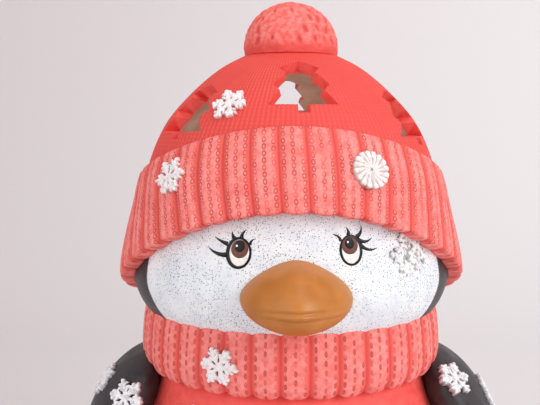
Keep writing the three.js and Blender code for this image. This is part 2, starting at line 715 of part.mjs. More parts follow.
const doorPlate = block(
  BAY_LENGTH - 2 * GAP,
  BAY_WIDTH - 2 * GAP,
  LIGHT.plate,
  0,
  0,
  LIGHT.plateLow + LIGHT.plate / 2,
);
const thumbHollow = cylinder(THUMB.r, 0, LIGHT.plateLow + THUMB.deep, 16).translate([THUMB.x, 0, 0]);
add("battery_door", doorPlate.subtract(thumbHollow), ABS_WHITE);
const sliderLow = LIGHT.plateLow / 3;
add(
  "switch_slider",
  block(
    SWITCH.length,
    SWITCH.width,
    SWITCH.height,
    SWITCH.x - SWITCH.travel / 2,
    SWITCH.y,
    sliderLow + SWITCH.height / 2,
  ),
  SWITCH_BLACK,
);
add(
  "switch_body",
  block(
    2 * SWITCH.body,
    SWITCH.body,
    SWITCH.body,
    SWITCH.x,
    SWITCH.y,
    sliderLow + SWITCH.height + GAP + SWITCH.body / 2,
  ),
  NICKEL,
);
screwPlaces.forEach(([x, y], i) => {
  const low = LIGHT.plateLow + GAP;
  const shank = cylinder(SCREW.r, low, low + SCREW.length, 12);
  const head = cylinder(SCREW.headR, low, low + SCREW.head - GAP, 12);
  add("light_screw_" + (i + 1), shank.add(head).translate([x, y, 0]), NICKEL);
});

export default model;
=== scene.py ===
"""Poured ceramic penguin lantern in a knitted-look hat and sweater, over a battery light."""
import math
from bisect import bisect_left

import bmesh
import bpy
from mathutils import Matrix, Vector, noise


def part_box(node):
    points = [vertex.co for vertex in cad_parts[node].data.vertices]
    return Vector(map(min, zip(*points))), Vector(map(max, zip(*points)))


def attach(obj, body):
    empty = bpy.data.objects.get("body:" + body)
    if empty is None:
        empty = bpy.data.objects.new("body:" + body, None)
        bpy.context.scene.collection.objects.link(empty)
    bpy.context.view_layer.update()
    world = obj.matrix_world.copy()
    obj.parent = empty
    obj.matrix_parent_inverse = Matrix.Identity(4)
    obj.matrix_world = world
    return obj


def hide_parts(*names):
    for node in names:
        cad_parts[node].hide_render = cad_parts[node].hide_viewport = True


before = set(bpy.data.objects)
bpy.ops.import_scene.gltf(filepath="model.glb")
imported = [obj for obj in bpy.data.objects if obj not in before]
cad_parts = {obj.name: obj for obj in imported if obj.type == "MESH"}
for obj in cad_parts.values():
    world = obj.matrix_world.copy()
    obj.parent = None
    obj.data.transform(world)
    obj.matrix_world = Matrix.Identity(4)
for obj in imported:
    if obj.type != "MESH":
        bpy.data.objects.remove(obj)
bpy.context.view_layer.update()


# ---- body casting ----
# The body is poured in a plaster mould as a hollow earthenware shell with an open foot. The sweater
# is modelled in the clay: smooth, with a ribbed hem, and stained matt coral red over the bisque.
MM = 0.001
FIGURE_DEPTH = 0.95  # front to back share of every round casting
WALL = 6.4
BODY_OUTLINE = [(72, 0), (78, 16), (83, 40), (85, 62), (79, 96), (67, 130), (57, 149)]
BODY_TOP = 149
BASE_HOLE_R = 42
NECK_R = 44
HEM = {"low": 22, "high": 36, "proud": 1.5, "ribs": 60}


def smooth_run(points, step):
    """Points about step apart on a smooth curve through a few outline points."""
    knots = [Vector(p) for p in points]
    fine = []
    for i in range(len(knots) - 1):
        before, start, end, after = (knots[min(max(i + k, 0), len(knots) - 1)] for k in (-1, 0, 1, 2))
        leave, arrive = (end - before) / 2, (after - start) / 2
        for t in (k / 24 for k in range(24)):
            fine.append(
                (2 * start - 2 * end + leave + arrive) * t**3
                + (3 * end - 3 * start - 2 * leave - arrive) * t**2
                + leave * t
                + start
            )
    fine.append(knots[-1])
    reach = [0.0]
    for a, b in zip(fine, fine[1:]):
        reach.append(reach[-1] + (b - a).length)
    count = max(2, round(reach[-1] / step))
    run, k = [], 0
    for i in range(count + 1):
        goal = reach[-1] * i / count
        while k < len(fine) - 2 and reach[k + 1] < goal:
            k += 1
        share = (goal - reach[k]) / max(reach[k + 1] - reach[k], 1e-9)
        run.append(tuple(fine[k].lerp(fine[k + 1], min(share, 1))))
    return run


def radius_at(run, z):
    """Radius of a climbing run at a height."""
    i = min(max(bisect_left(run, z, key=lambda p: p[1]), 1), len(run) - 1)
    (r0, z0), (r1, z1) = run[i - 1], run[i]
    return r0 + (r1 - r0) * min(max((z - z0) / (z1 - z0), 0), 1)


def inset(run, distance):
    """The run moved inwards by distance."""
    moved = []
    for i, (r, z) in enumerate(run):
        (r0, z0), (r1, z1) = run[max(i - 1, 0)], run[min(i + 1, len(run) - 1)]
        length = math.hypot(r1 - r0, z1 - z0)
        moved.append((r - distance * (z1 - z0) / length, z + distance * (r1 - r0) / length))
    return moved


def turned(outline, steps, closed=True, depth=FIGURE_DEPTH):
    """A spun outline of (radius, height) in mm. Its 'along' layer holds mm from the first point."""
    bm = bmesh.new()
    along = bm.verts.layers.float.new("along")
    points, run = [], 0.0
    for i, (r, z) in enumerate(outline):
        if i:
            run += math.dist(outline[i - 1], (r, z))
        point = bm.verts.new((r * MM, 0, z * MM))
        point[along] = run
        points.append(point)
    pairs = list(zip(points, points[1:]))
    if closed:
        pairs.append((points[-1], points[0]))
    edges = [bm.edges.new(pair) for pair in pairs if pair[0].co.x or pair[1].co.x]
    bmesh.ops.spin(
        bm,
        geom=points + edges,
        cent=(0, 0, 0),
        axis=(0, 0, 1),
        angle=2 * math.pi,
        steps=steps,
        use_merge=True,
    )
    bmesh.ops.remove_doubles(bm, verts=bm.verts, dist=1e-7)
    bmesh.ops.scale(bm, vec=(1, depth, 1), verts=bm.verts)
    bmesh.ops.recalc_face_normals(bm, faces=bm.faces)
    return bm


def around(co):
    """Angle of a point round a casting, 0 in front and growing towards +X."""
    return math.atan2(co.x, -co.y / FIGURE_DEPTH)


def push_out(bm, lift):
    """Moves every point along its normal by lift(point) in mm."""
    bm.normal_update()
    moves = [(v, v.normal * lift(v) * MM) for v in bm.verts]
    for v, move in moves:
        v.co += move


def finished(name, bm, materials, body="figure", replaces=(), smooth=True):
    """Makes the object, puts it on its body and hides the CAD nodes it stands for."""
    mesh = bpy.data.meshes.new(name)
    for face in bm.faces:
        face.smooth = smooth
    bm.to_mesh(mesh)
    bm.free()
    for material in materials:
        mesh.materials.append(material)
    made = bpy.data.objects.new(name, mesh)
    bpy.context.scene.collection.objects.link(made)
    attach(made, body)
    if replaces:
        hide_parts(*replaces)
    return made


def linear(code):
    """sRGB hex to linear colour."""
    parts = [int(code[i : i + 2], 16) / 255 for i in (1, 3, 5)]
    return (*(p / 12.92 if p <= 0.04045 else ((p + 0.055) / 1.055) ** 2.4 for p in parts), 1)


def feed(tree, made, inputs):
    """Gives a node its inputs: values, sockets, or nodes whose first live output is taken."""
    for key, value in inputs.items() if isinstance(inputs, dict) else enumerate(inputs):
        if isinstance(value, bpy.types.Node):
            value = next(output for output in value.outputs if output.enabled)
        if isinstance(value, bpy.types.NodeSocket):
            tree.links.new(value, made.inputs[key])
        else:
            made.inputs[key].default_value = value


def node(tree, kind, inputs=(), **settings):
    """Adds a node with its settings and links."""
    made = tree.nodes.new("ShaderNode" + kind)
    for name, value in settings.items():
        setattr(made, name, value)
    feed(tree, made, inputs)
    return made


def new_finish(name, roughness, ior=1.5):
    """A material and its node tree, shader and object coordinates in metres."""
    material = bpy.data.materials.new(name)
    material.use_nodes = True
    tree = material.node_tree
    shader = tree.nodes["Principled BSDF"]
    shader.inputs["Roughness"].default_value = roughness
    shader.inputs["IOR"].default_value = ior
    place = node(tree, "TexCoord").outputs["Object"]
    return material, tree, shader, place


def brushed_grain(tree, place, stroke=0.004, grain=0.0005):
    """Two noises: broad mottling left by a soft brush, and the fine tooth of bisque."""
    broad = node(tree, "TexNoise", {"Vector": place, "Scale": 1 / stroke, "Detail": 3})
    fine = node(tree, "TexNoise", {"Vector": place, "Scale": 1 / grain, "Detail": 2})
    return broad, fine


def mottled(name, tones, fleck, stroke, grain, roughness, ior, bump, sheen=None):
    """A finish in two tones with flecks of a third, fine grain and uneven gloss.

    stroke and grain are pattern sizes in metres. fleck is (from, to, most, colour) on the grain, bump
    is (strength, depth in metres), and sheen is (pattern number, from, to, low and high roughness).
    """
    material, tree, shader, place = new_finish(name, roughness, ior)
    patterns = brushed_grain(tree, place, stroke, grain)
    amount = node(tree, "MapRange", [patterns[0], 0.3, 0.7], interpolation_type="SMOOTHSTEP")
    colour = node(tree, "Mix", {0: amount, 6: linear(tones[0]), 7: linear(tones[1])}, data_type="RGBA")
    if fleck:
        amount = node(
            tree,
            "MapRange",
            [patterns[1], fleck[0], fleck[1], 0, fleck[2]],
            interpolation_type="SMOOTHSTEP",
        )
        colour = node(tree, "Mix", {0: amount, 6: colour, 7: linear(fleck[3])}, data_type="RGBA")
    relief = node(tree, "Bump", {"Strength": bump[0], "Distance": bump[1], "Height": patterns[1]})
    feed(tree, shader, {"Base Color": colour, "Normal": relief})
    if sheen:
        rough = node(
            tree, "MapRange", [patterns[sheen[0]], *sheen[1:]], interpolation_type="SMOOTHSTEP",
        )
        feed(tree, shader, {"Roughness": rough})
    return material


# deep is the stain's darker tone in the flecks, and painted shade in the knit grooves and stitch holes.
CORAL = {"deep": "#cf3f38", "mid": "#e9564c", "pink": "#fb918a"}
SWEATER = ("#ec4e46", "#f65e57")

# Matt acrylic stain brushed over bisque: even colour, soft brush mottling, no gloss.
coral = mottled(
    "acrylic_stain_coral",
    SWEATER,
    (0.6, 0.8, 0.25, CORAL["deep"]),
    stroke=0.004,
    grain=0.0005,
    roughness=0.62,
    ior=1.49,
    bump=(0.35, 0.0002),
    sheen=(0, 0.2, 0.8, 0.55, 0.72),
)
# Fired earthenware with no stain, inside every casting: pale brown, dusty and dry.
bisque = mottled(
    "bisque_bare_earthenware",
    ("#b08a76", "#c9a592"),
    (0.55, 0.75, 0.4, "#94705e"),
    stroke=0.012,
    grain=0.0004,
    roughness=0.9,
    ior=1.55,
    bump=(0.5, 0.0003),
)
body_run = smooth_run(BODY_OUTLINE, 1.6)


def sweater_hem(v):
    """Ribs standing out of the hem, and the hem itself proud of the hips."""
    z, proud = v.co.z / MM, 0.0
    if math.hypot(v.co.x, v.co.y / FIGURE_DEPTH) < radius_at(body_run, z) * MM - 0.002:
        return 0.0
    edge = min(z - HEM["low"], HEM["high"] - z)
    if edge > 0:
        rib = abs(math.sin(around(v.co) * HEM["ribs"] / 2))
        proud = HEM["proud"] * min(1, edge / 1.5) * (0.3 + 0.7 * rib**0.5)
    return proud


body_inside = [p for p in inset(body_run, WALL) if WALL < p[1] < BODY_TOP - WALL][::4]
bm = turned(
    body_run
    + [(NECK_R, BODY_TOP), (NECK_R, BODY_TOP - WALL)]
    + body_inside[::-1]
    + [(radius_at(body_run, WALL) - WALL, WALL), (BASE_HOLE_R, WALL), (BASE_HOLE_R, 0)],
    300,
)
push_out(bm, sweater_hem)
for face in bm.faces:
    centre = face.calc_center_median()
    reach = math.hypot(centre.x, centre.y / FIGURE_DEPTH) / MM
    inside = reach < radius_at(body_run, centre.z / MM) - 3 and centre.z / MM < BODY_TOP - 1
    face.material_index = 1 if inside or centre.z / MM < 0.5 else 0
finished("body_shell", bm, [coral, bisque], replaces=["body_casting"])


# ---- hollow head ----
# Head and hat come out of one mould and are parted on a slope that the cuff hides. The face is
# stippled white over a black head, spattered with fine black paint flicked off a toothbrush.
HEAD_LOW = 150
CROWN_TOP = 283.5
HAT_VENT_R = 11
HEAD_OUTLINE = [
    (50.4, HEAD_LOW),
    (67.5, HEAD_LOW + 13),
    (73.5, HEAD_LOW + 26),
    (74.5, HEAD_LOW + 38),
    (71.5, HEAD_LOW + 62),
    (68.5, HEAD_LOW + 81),
    (60.5, CROWN_TOP - 33.5),
    (48.5, CROWN_TOP - 19),
    (34.5, CROWN_TOP - 7),
    (21.5, CROWN_TOP),
]
SEAM = {"z": 206, "slope": 0.37}
skull_run = smooth_run(HEAD_OUTLINE, 1.0)


def skull_shell(step, turns):
    """The whole hollow head and hat."""
    outer = smooth_run(HEAD_OUTLINE, step)
    inner = [p for p in inset(outer, WALL) if HEAD_LOW + 3 < p[1] < CROWN_TOP - WALL - 1]
    vent = [(HAT_VENT_R, CROWN_TOP), (HAT_VENT_R, CROWN_TOP - WALL)]
    return turned(outer + vent + inner[:: max(1, round(4 / step))][::-1] + [(NECK_R, HEAD_LOW)], turns)


def keep_side(bm, above):
    """Cuts the shell on the sloping joint, keeps one side and closes the cut ring."""
    normal = Vector((0, SEAM["slope"], 1)).normalized()
    rise = 0.15 if above else -0.15
    bmesh.ops.bisect_plane(
        bm,
        geom=bm.verts[:] + bm.edges[:] + bm.faces[:],
        plane_co=(0, 0, (SEAM["z"] + rise) * MM),
        plane_no=normal,
        clear_inner=above,
        clear_outer=not above,
    )
    ring = [e for e in bm.edges if e.is_boundary]
    bmesh.ops.bridge_loops(bm, edges=ring)
    bmesh.ops.recalc_face_normals(bm, faces=bm.faces)


MASK = {"half_turn": 58, "middle": HEAD_LOW + 37, "half_height": 60}
CHEEK = {"z": HEAD_LOW + 28, "spread": 16, "swell": 2.0}  # the cheeks swell out under the hat


def cheek_swell(z):
    """How much the cheeks stand out from the mould line of the hat at a height."""
    return CHEEK["swell"] * math.exp(-(((z - CHEEK["z"]) / CHEEK["spread"]) ** 2))


def face_r(z):
    """Radius of the finished face at a height."""
    return radius_at(skull_run, z) + cheek_swell(z)


def face_stain():
    """White acrylic stippled on with a sponge, spattered with black; the back of the head is black."""
    material, tree, shader, place = new_finish("acrylic_stain_speckled_face", 0.75, 1.49)
    mask = node(tree, "Attribute", attribute_name="face_mask").outputs["Fac"]
    broad, fine = brushed_grain(tree, place, 0.008, 0.0006)
    amount = node(tree, "MapRange", [broad, 0.35, 0.65], interpolation_type="SMOOTHSTEP")
    white = node(tree, "Mix", {0: amount, 6: linear("#e2e7ed"), 7: linear("#eef1f3")}, data_type="RGBA")
    drift = node(tree, "TexNoise", {"Vector": place, "Scale": 55, "Detail": 2})
    for spacing, size, crowd in ((0.0009, 0.32, 0.46), (0.0017, 0.19, 0.52), (0.0006, 0.36, 0.55)):
        cells = node(tree, "TexVoronoi", {"Vector": place, "Scale": 1 / spacing, "Randomness": 1})
        chance = node(tree, "SeparateColor", [cells.outputs["Color"]])
        bare = node(tree, "Math", [chance, drift], operation="ADD")
        picked = node(
            tree, "MapRange", [bare, crowd + 0.28, crowd + 0.4, 1, 0], interpolation_type="SMOOTHSTEP",
        )
        spot = node(
            tree,
            "MapRange",
            [cells.outputs["Distance"], size * 0.5, size, 1, 0],
            interpolation_type="SMOOTHSTEP",
        )
        share = node(tree, "Math", [picked, spot], operation="MULTIPLY")
        white = node(tree, "Mix", {0: share, 6: white, 7: linear("#33353f")}, data_type="RGBA")
    amount = node(tree, "MapRange", [broad, 0.3, 0.7], interpolation_type="SMOOTHSTEP")
    black = node(tree, "Mix", {0: amount, 6: linear("#1a1516"), 7: linear("#30292b")}, data_type="RGBA")
    amount = node(tree, "MapRange", [mask, -0.01, 0.01], interpolation_type="SMOOTHSTEP")
    colour = node(tree, "Mix", {0: amount, 6: black, 7: white}, data_type="RGBA")
    bump = node(tree, "Bump", {"Strength": 0.5, "Distance": 0.0003, "Height": fine})
    rough = node(tree, "MapRange", [mask, -0.01, 0.01, 0.42, 0.78], interpolation_type="SMOOTHSTEP")
    feed(tree, shader, {"Roughness": rough, "Base Color": colour, "Normal": bump})
    return material


bm = skull_shell(1.6, 240)
keep_side(bm, above=False)


def swell(v):
    """Cheek swelling, on the outside only."""
    z = v.co.z / MM
    outside = math.hypot(v.co.x, v.co.y / FIGURE_DEPTH) / MM > radius_at(skull_run, z) - 2
    return cheek_swell(z) if outside else 0


push_out(bm, swell)
face_mask = bm.verts.layers.float.new("face_mask")
for v in bm.verts:
    turn = math.degrees(around(v.co)) / MASK["half_turn"]
    rise = (v.co.z / MM - MASK["middle"]) / MASK["half_height"]
    v[face_mask] = 1 - math.hypot(turn, rise)
for face in bm.faces:
    centre = face.calc_center_median()
    reach = math.hypot(centre.x, centre.y / FIGURE_DEPTH) / MM
    face.material_index = 1 if reach < radius_at(skull_run, centre.z / MM) - 3 else 0
finished("head_shell", bm, [face_stain(), bisque], replaces=["head_casting"])


# ---- painted eyes ----
# Eyes and lashes are brushed on the fired face in thick gloss enamel, one coat over another: black
# outline, cream white, brown iris, black pupil and a white catchlight.
EYES = {
    "left": {
        "turn": -18.4,
        "z": 198.3,
        "outline": (0, 0, 5.75, 6.6),
        "white": (0.35, 0.1, 4.35, 5.5),
        "iris": (0.5, 1.6, 3.85, 3.8),
        "pupil": (0.5, 2.8, 2.3, 2.5),
        "catchlight": (-0.8, 2.9, 0.5, 0.5),
        "lashes": [
            ((-4.9, 3.4), (-7.6, 3.9), (-11.3, 6.1), 1.9),
            ((-5.2, -1.0), (-10.0, -1.5), (-14.0, 1.8), 2.1),
            ((-1.8, 5.6), (-3.4, 6.6), (-3.2, 8.6), 1.9),
            ((1.0, 5.9), (0.8, 7.8), (2.9, 9.4), 1.9),
            ((4.7, 3.4), (4.9, 5.2), (6.7, 5.9), 1.4),
        ],
    },
    "right": {
        "turn": 17.7,
        "z": 199.4,
        "outline": (0, 0, 5.25, 6.45),
        "white": (-0.15, -0.1, 4.0, 5.4),
        "iris": (-0.5, 1.9, 3.65, 3.65),
        "pupil": (-0.6, 2.9, 2.15, 2.4),
        "catchlight": (-1.4, 3.4, 0.45, 0.45),
        "lashes": [
            ((-4.3, 3.8), (-4.7, 6.2), (-7.7, 6.6), 1.4),
            ((-1.0, 5.9), (-0.2, 7.6), (-1.8, 9.2), 1.9),
            ((2.6, 5.2), (5.8, 6.6), (5.0, 10.0), 1.9),
            ((3.2, 4.2), (7.0, 1.9), (9.9, 4.6), 1.9),
            ((4.2, 2.2), (7.4, -1.6), (12.4, 0.4), 1.8),
        ],
    },
}


def enamel(name, code, roughness=0.22):
    """Brush-laid gloss enamel: glossy, levelled, with the slightest brush drag."""
    material, tree, shader, place = new_finish(name, roughness, 1.5)
    broad, fine = brushed_grain(tree, place, 0.0016, 0.0002)
    tone = node(tree, "MapRange", [broad, 0.2, 0.8, 0.8, 1.15], interpolation_type="SMOOTHSTEP")
    tone = node(tree, "HueSaturation", {"Color": linear(code), "Value": tone})
    bump = node(tree, "Bump", {"Strength": 0.15, "Distance": 0.00005, "Height": broad})
    shader.inputs["Specular IOR Level"].default_value = 0.25
    feed(tree, shader, {"Base Color": tone.outputs[0], "Normal": bump})
    return material


def on_face(eye, across, up, lift):
    """A point over the face, across and up from the middle of an eye, in mm."""
    z = eye["z"] + up
    turn = math.radians(eye["turn"]) + across / face_r(eye["z"])
    r = face_r(z) + lift
    return Vector((r * math.sin(turn), -r * math.cos(turn) * FIGURE_DEPTH, z)) * MM


def coat(bm, eye, oval, lift, material_index):
    """One oval coat of enamel that follows the face, with a rounded rim."""
    x, y, wide, tall = oval
    rings = [(0, lift), (0.3, lift), (0.6, lift), (0.85, lift), (0.96, lift * 0.85), (1, -0.25)]
    count = 48
    middle = bm.verts.new(on_face(eye, x, y, lift))
    previous = None
    for share, height in rings[1:]:
        ring = [
            bm.verts.new(
                on_face(
                    eye,
                    x + wide * share * math.cos(2 * math.pi * k / count),
                    y + tall * share * math.sin(2 * math.pi * k / count),
                    height,
                )
            )
            for k in range(count)
        ]
        for k in range(count):
            j = (k + 1) % count
            corners = (middle, ring[k], ring[j])
            if previous:
                corners = (previous[k], ring[k], ring[j], previous[j])
            bm.faces.new(corners).material_index = material_index
        previous = ring
    bm.faces.new(previous[::-1]).material_index = material_index


LASH_WEIGHT = 1.25
BRISTLE = 0.04  # half width of a stroke where it runs out


def lash(bm, eye, root, middle, tip, width):
    """One tapering brush stroke from the outline to its tip."""
    steps = 14
    rows = []
    root, middle, tip = Vector(root), Vector(middle), Vector(tip)
    for k in range(steps + 1):
        t = k / steps
        at = root * (1 - t) ** 2 + middle * 2 * t * (1 - t) + tip * t * t
        way = ((middle - root) * (1 - t) + (tip - middle) * t).normalized()
        side = Vector((-way.y, way.x)) * width * LASH_WEIGHT / 2 * (1 - t) ** 0.7
        if side.length <= BRISTLE:
            side = side.normalized() * BRISTLE if side.length else Vector((BRISTLE, 0))
        rows.append(
            [
                bm.verts.new(on_face(eye, *(at + side * share), lift))
                for share, lift in ((-1, -0.2), (-0.7, 0.12), (0, 0.2), (0.7, 0.12), (1, -0.2))
            ]
        )
    for a, b in zip(rows, rows[1:]):
        for k in range(4):
            bm.faces.new((a[k], a[k + 1], b[k + 1], b[k]))
        bm.faces.new((a[4], a[0], b[0], b[4]))
    bm.faces.new(rows[0])
    bm.faces.new(rows[-1][::-1])


enamels = [
    enamel("enamel_black", "#110e10", 0.3),
    enamel("enamel_cream", "#f6efe9"),
    enamel("enamel_brown", "#6d4339", 0.3),
    enamel("enamel_catchlight", "#fbfbfb"),
]
for side, eye in EYES.items():
    bm = bmesh.new()
    for layer, (part, paint) in enumerate(
        (("outline", 0), ("white", 1), ("iris", 2), ("pupil", 0), ("catchlight", 3))
    ):
        coat(bm, eye, eye[part], 0.18 + 0.08 * layer, paint)
    for stroke in eye["lashes"]:
        lash(bm, eye, *stroke)
    bmesh.ops.recalc_face_normals(bm, faces=bm.faces)
    finished("eye_" + side, bm, enamels)


# ---- turned-up cuff ----
# A thick ribbed brim, cast as its own ring and luted over the joint. Every rib carries three
# columns of chain stitches, and pink stain is dragged over the high spots with a dry brush.
CUFF = {"ribs": 44, "thick": 8.4, "taper": 0.62, "lean": 1.5}
CUFF_LOW = {"nape": 171, "rise": 44, "bend": 1.12}
CUFF_HIGH = {"nape": 211, "rise": 38.6, "bend": 1.5}
CUFF_FAN = 0.24  # how much wider the ribs lie in front at the top edge than at the nape
STITCH_ROW = 2.75


def cuff_edges(turn):
    """Heights of the lower and upper edge at an angle round the head."""
    front = math.cos(turn)
    low = CUFF_LOW["nape"] + CUFF_LOW["rise"] * max(0, front) ** CUFF_LOW["bend"]
    high = CUFF_HIGH["nape"] + CUFF_HIGH["rise"] * ((1 + front) / 2) ** CUFF_HIGH["bend"]
    return low, high


def cuff_stand(share):
    """How far the cuff stands out from the head, from its lower edge (0) to its upper edge (1)."""
    return CUFF["thick"] * (1 - CUFF["taper"] * share**1.2)


def rib_height(across, deep, sharp=4):
    """A rounded rib between two narrow grooves; across is 0 to 1 over one rib."""
    return -deep * abs(2 * across - 1) ** sharp


def chain_dimple(across, rows, deep):
    """Three columns of oval loops pressed into a rib."""
    column = (across * 3) % 1 - 0.5
    shift = 0.5 * (math.floor(across * 3) % 2)
    step = (rows + shift) % 1 - 0.5
    reach = math.hypot(column / 0.26, step / 0.44)
    return -deep * math.exp(-((reach - 0.85) ** 2) / 0.08)


def knit_stain_and_painted_shade(name, loops, groove=0.86):
    """Coral stain, dry-brushed pink on the high spots; the grooves and stitch holes are darkened with
    painted shade.
    """
    material, tree, shader, place = new_finish(name, 0.62, 1.49)
    knit = node(tree, "SeparateXYZ", [node(tree, "UVMap", uv_map="knit")])
    across, rows = (knit.outputs[0], knit.outputs[1])

    rib = node(tree, "Math", [across], operation="FRACT")
    edge = node(tree, "Math", [rib, 2, -1], operation="MULTIPLY_ADD")
    edge = node(tree, "Math", [edge], operation="ABSOLUTE")
    thirds = node(tree, "Math", [rib, 3], operation="MULTIPLY")
    column = node(tree, "Math", [thirds], operation="FRACT")
    column = node(tree, "Math", [column, 0.5], operation="SUBTRACT")
    shift = node(tree, "Math", [node(tree, "Math", [thirds], operation="FLOOR"), 2], operation="MODULO")
    shift = node(tree, "Math", [shift, 0.5], operation="MULTIPLY")
    step = node(tree, "Math", [node(tree, "Math", [rows, shift], operation="ADD")], operation="FRACT")
    step = node(tree, "Math", [step, 0.5], operation="SUBTRACT")
    wide, tall, middle, width = loops
    reach = node(tree, "Math", [column, wide], operation="DIVIDE")
    reach = node(tree, "Math", [reach, 2], operation="POWER")
    amount = node(tree, "Math", [step, tall], operation="DIVIDE")
    amount = node(tree, "Math", [amount, 2], operation="POWER")
    reach = node(tree, "Math", [reach, amount], operation="ADD")
    reach = node(tree, "Math", [reach], operation="SQRT")
    ring = node(tree, "Math", [reach, middle], operation="SUBTRACT")
    ring = node(tree, "Math", [ring], operation="ABSOLUTE")
    ring = node(tree, "MapRange", [ring, width * 0.2, width, 1, 0], interpolation_type="SMOOTHSTEP")
    # Noise that makes the stitch holes uneven, in their painted shade and their bump.
    uneven_holes = node(tree, "TexNoise", {"Vector": place, "Scale": 160, "Detail": 2})
    amount = node(tree, "MapRange", [uneven_holes, 0.36, 0.6, 0.25, 1], interpolation_type="SMOOTHSTEP")
    ring = node(tree, "Math", [ring, amount], operation="MULTIPLY")
    smear = node(tree, "TexNoise", {"Vector": place, "Scale": 420, "Detail": 4, "Roughness": 0.6})
    patch = node(tree, "TexNoise", {"Vector": place, "Scale": 90, "Detail": 2})
    fine = node(tree, "TexNoise", {"Vector": place, "Scale": 2200, "Detail": 2})
    dry = node(tree, "MapRange", [smear, 0.34, 0.6, 0.45, 1], interpolation_type="SMOOTHSTEP")
    amount = node(tree, "MapRange", [patch, 0.25, 0.7, 0.6, 1], interpolation_type="SMOOTHSTEP")
    dry = node(tree, "Math", [dry, amount], operation="MULTIPLY")
    amount = node(
        tree, "MapRange", [edge, groove - 0.22, groove, 1, 0], interpolation_type="SMOOTHSTEP",
    )
    dry = node(tree, "Math", [dry, amount], operation="MULTIPLY")
    amount = node(tree, "Math", [ring, 0.85], operation="MULTIPLY")
    amount = node(tree, "Math", [1, amount], operation="SUBTRACT")
    dry = node(tree, "Math", [dry, amount], operation="MULTIPLY")
    colour = node(
        tree, "Mix", {0: dry, 6: linear(CORAL["mid"]), 7: linear(CORAL["pink"])}, data_type="RGBA",
    )
    # Painted shade: grooves and stitch holes are darkened towards deep red.
    hollow = node(tree, "Math", [ring, 0.55], operation="MULTIPLY")
    amount = node(tree, "MapRange", [edge, groove, 0.99, 0, 0.8], interpolation_type="SMOOTHSTEP")
    hollow = node(tree, "Math", [hollow, amount], operation="MAXIMUM")
    colour = node(tree, "Mix", {0: hollow, 6: colour, 7: linear(CORAL["deep"])}, data_type="RGBA")
    # Painted shade: stitch holes are darkened further towards brown.
    amount = node(tree, "Math", [ring, 0.4], operation="MULTIPLY")
    colour = node(tree, "Mix", {0: amount, 6: colour, 7: linear("#a44b45")}, data_type="RGBA")
    height = node(tree, "Math", [ring, -0.8], operation="MULTIPLY")
    amount = node(tree, "Math", [fine, 0.35], operation="MULTIPLY")
    height = node(tree, "Math", [height, amount], operation="ADD")
    bump = node(tree, "Bump", {"Strength": 0.6, "Distance": 0.0004, "Height": height})
    feed(tree, shader, {"Base Color": colour, "Normal": bump})
    return material


def lay_knit(bm, ribs, place):
    """Writes the knit map: u counts ribs, v counts stitch rows. place(vert) gives both."""
    layer = bm.loops.layers.uv.new("knit")
    found = {v: place(v) for v in bm.verts}
    for face in bm.faces:
        us = [found[v][0] for v in face.verts]
        wraps = max(us) - min(us) > ribs / 2
        for loop in face.loops:
            u, row = found[loop.vert]
            loop[layer].uv = (u + ribs if wraps and u < ribs / 2 else u, row)


def cuff_ring():
    """The ribbed ring: a spun section laid between the two edges of the cuff."""
    rows = 58
    lip_turns = [math.pi / 2 * k / 6 for k in range(6)]
    rim_turns = [math.pi / 2 * k / 4 for k in range(1, 5)]
    lip = [(0.045 * (1 - math.cos(a)), math.sin(a)) for a in lip_turns]
    rim = [(1 - 0.03 * (1 - math.sin(a)), math.cos(a) * 0.9 + 0.1) for a in rim_turns]
    outer = [(0.045 + 0.925 * k / rows, 1.0) for k in range(rows + 1)]
    inner = [(share, 0.0) for share in (0.95, 0.7, 0.45, 0.2)]
    section = lip + outer + rim + inner
    ring = turned([(1 + k * 0.001, k) for k in range(len(section))], CUFF["ribs"] * 14, depth=1)
    knit = {}
    for v in ring.verts:
        share, stand = section[round(v.co.z / MM)]
        turn = math.atan2(v.co.x, -v.co.y)
        u = (turn / (2 * math.pi) + 0.5) * CUFF["ribs"] + 0.5
        fan = CUFF_FAN * share * math.sin(turn)
        lean = turn + fan - math.radians(CUFF["lean"]) * share
        low, high = cuff_edges(lean)
        across = u % 1
        low -= 0.9 * (1 - abs(2 * across - 1) ** 2) * (1 - share)
        z = low + (high - low) * share
        rows_up = (z - low) / STITCH_ROW
        relief = 0.0
        if stand > 0.5:
            fade = min(1, share / 0.05, (1 - share) / 0.04)
            relief = rib_height(across, 1.5) + fade * chain_dimple(across, rows_up, 0.3)
        r = radius_at(skull_run, z) + 0.3 + (cuff_stand(share) - 0.3) * stand + relief * stand
        v.co = Vector((math.sin(lean) * r, -math.cos(lean) * r * FIGURE_DEPTH, z)) * MM
        knit[v] = (u, rows_up)
    lay_knit(ring, CUFF["ribs"], lambda v: knit[v])
    bmesh.ops.recalc_face_normals(ring, faces=ring.faces)
    return ring


cuff_knit = knit_stain_and_painted_shade("acrylic_stain_cuff_dry_brushed_painted_shade", (0.22, 0.46, 0.75, 0.36))
finished("hat_cuff_knit", cuff_ring(), [cuff_knit], replaces=["hat_cuff"])


# ---- hat crown ----
# The crown carries fine stocking stitch under one coat of stain. Four fir-tree windows are cut
# through the leather-hard wall with a knife, and their cut faces are stained like the outside.
CROWN = {"columns": 172, "row": 2.1, "steps": 516}
# mid is the stain; light is a painted highlight and deep is painted shade on the stitch relief.
CROWN_RED_AND_PAINTED_SHADING = {"deep": "#cf372e", "mid": "#e2453b", "light": "#ee564c"}
WINDOWS = (-60, 0, 60, 180)
WINDOW_TURN = 4
WINDOW_EYE_Z = 248
WINDOW_REACH = 57
WINDOW_LIFT = {"mean": 7.3, "swing": 9.9}
TREE = {"tip": 23.8, "half": 16.2, "trunk": 2.6, "drop": 8.2, "stretch": 0.21}


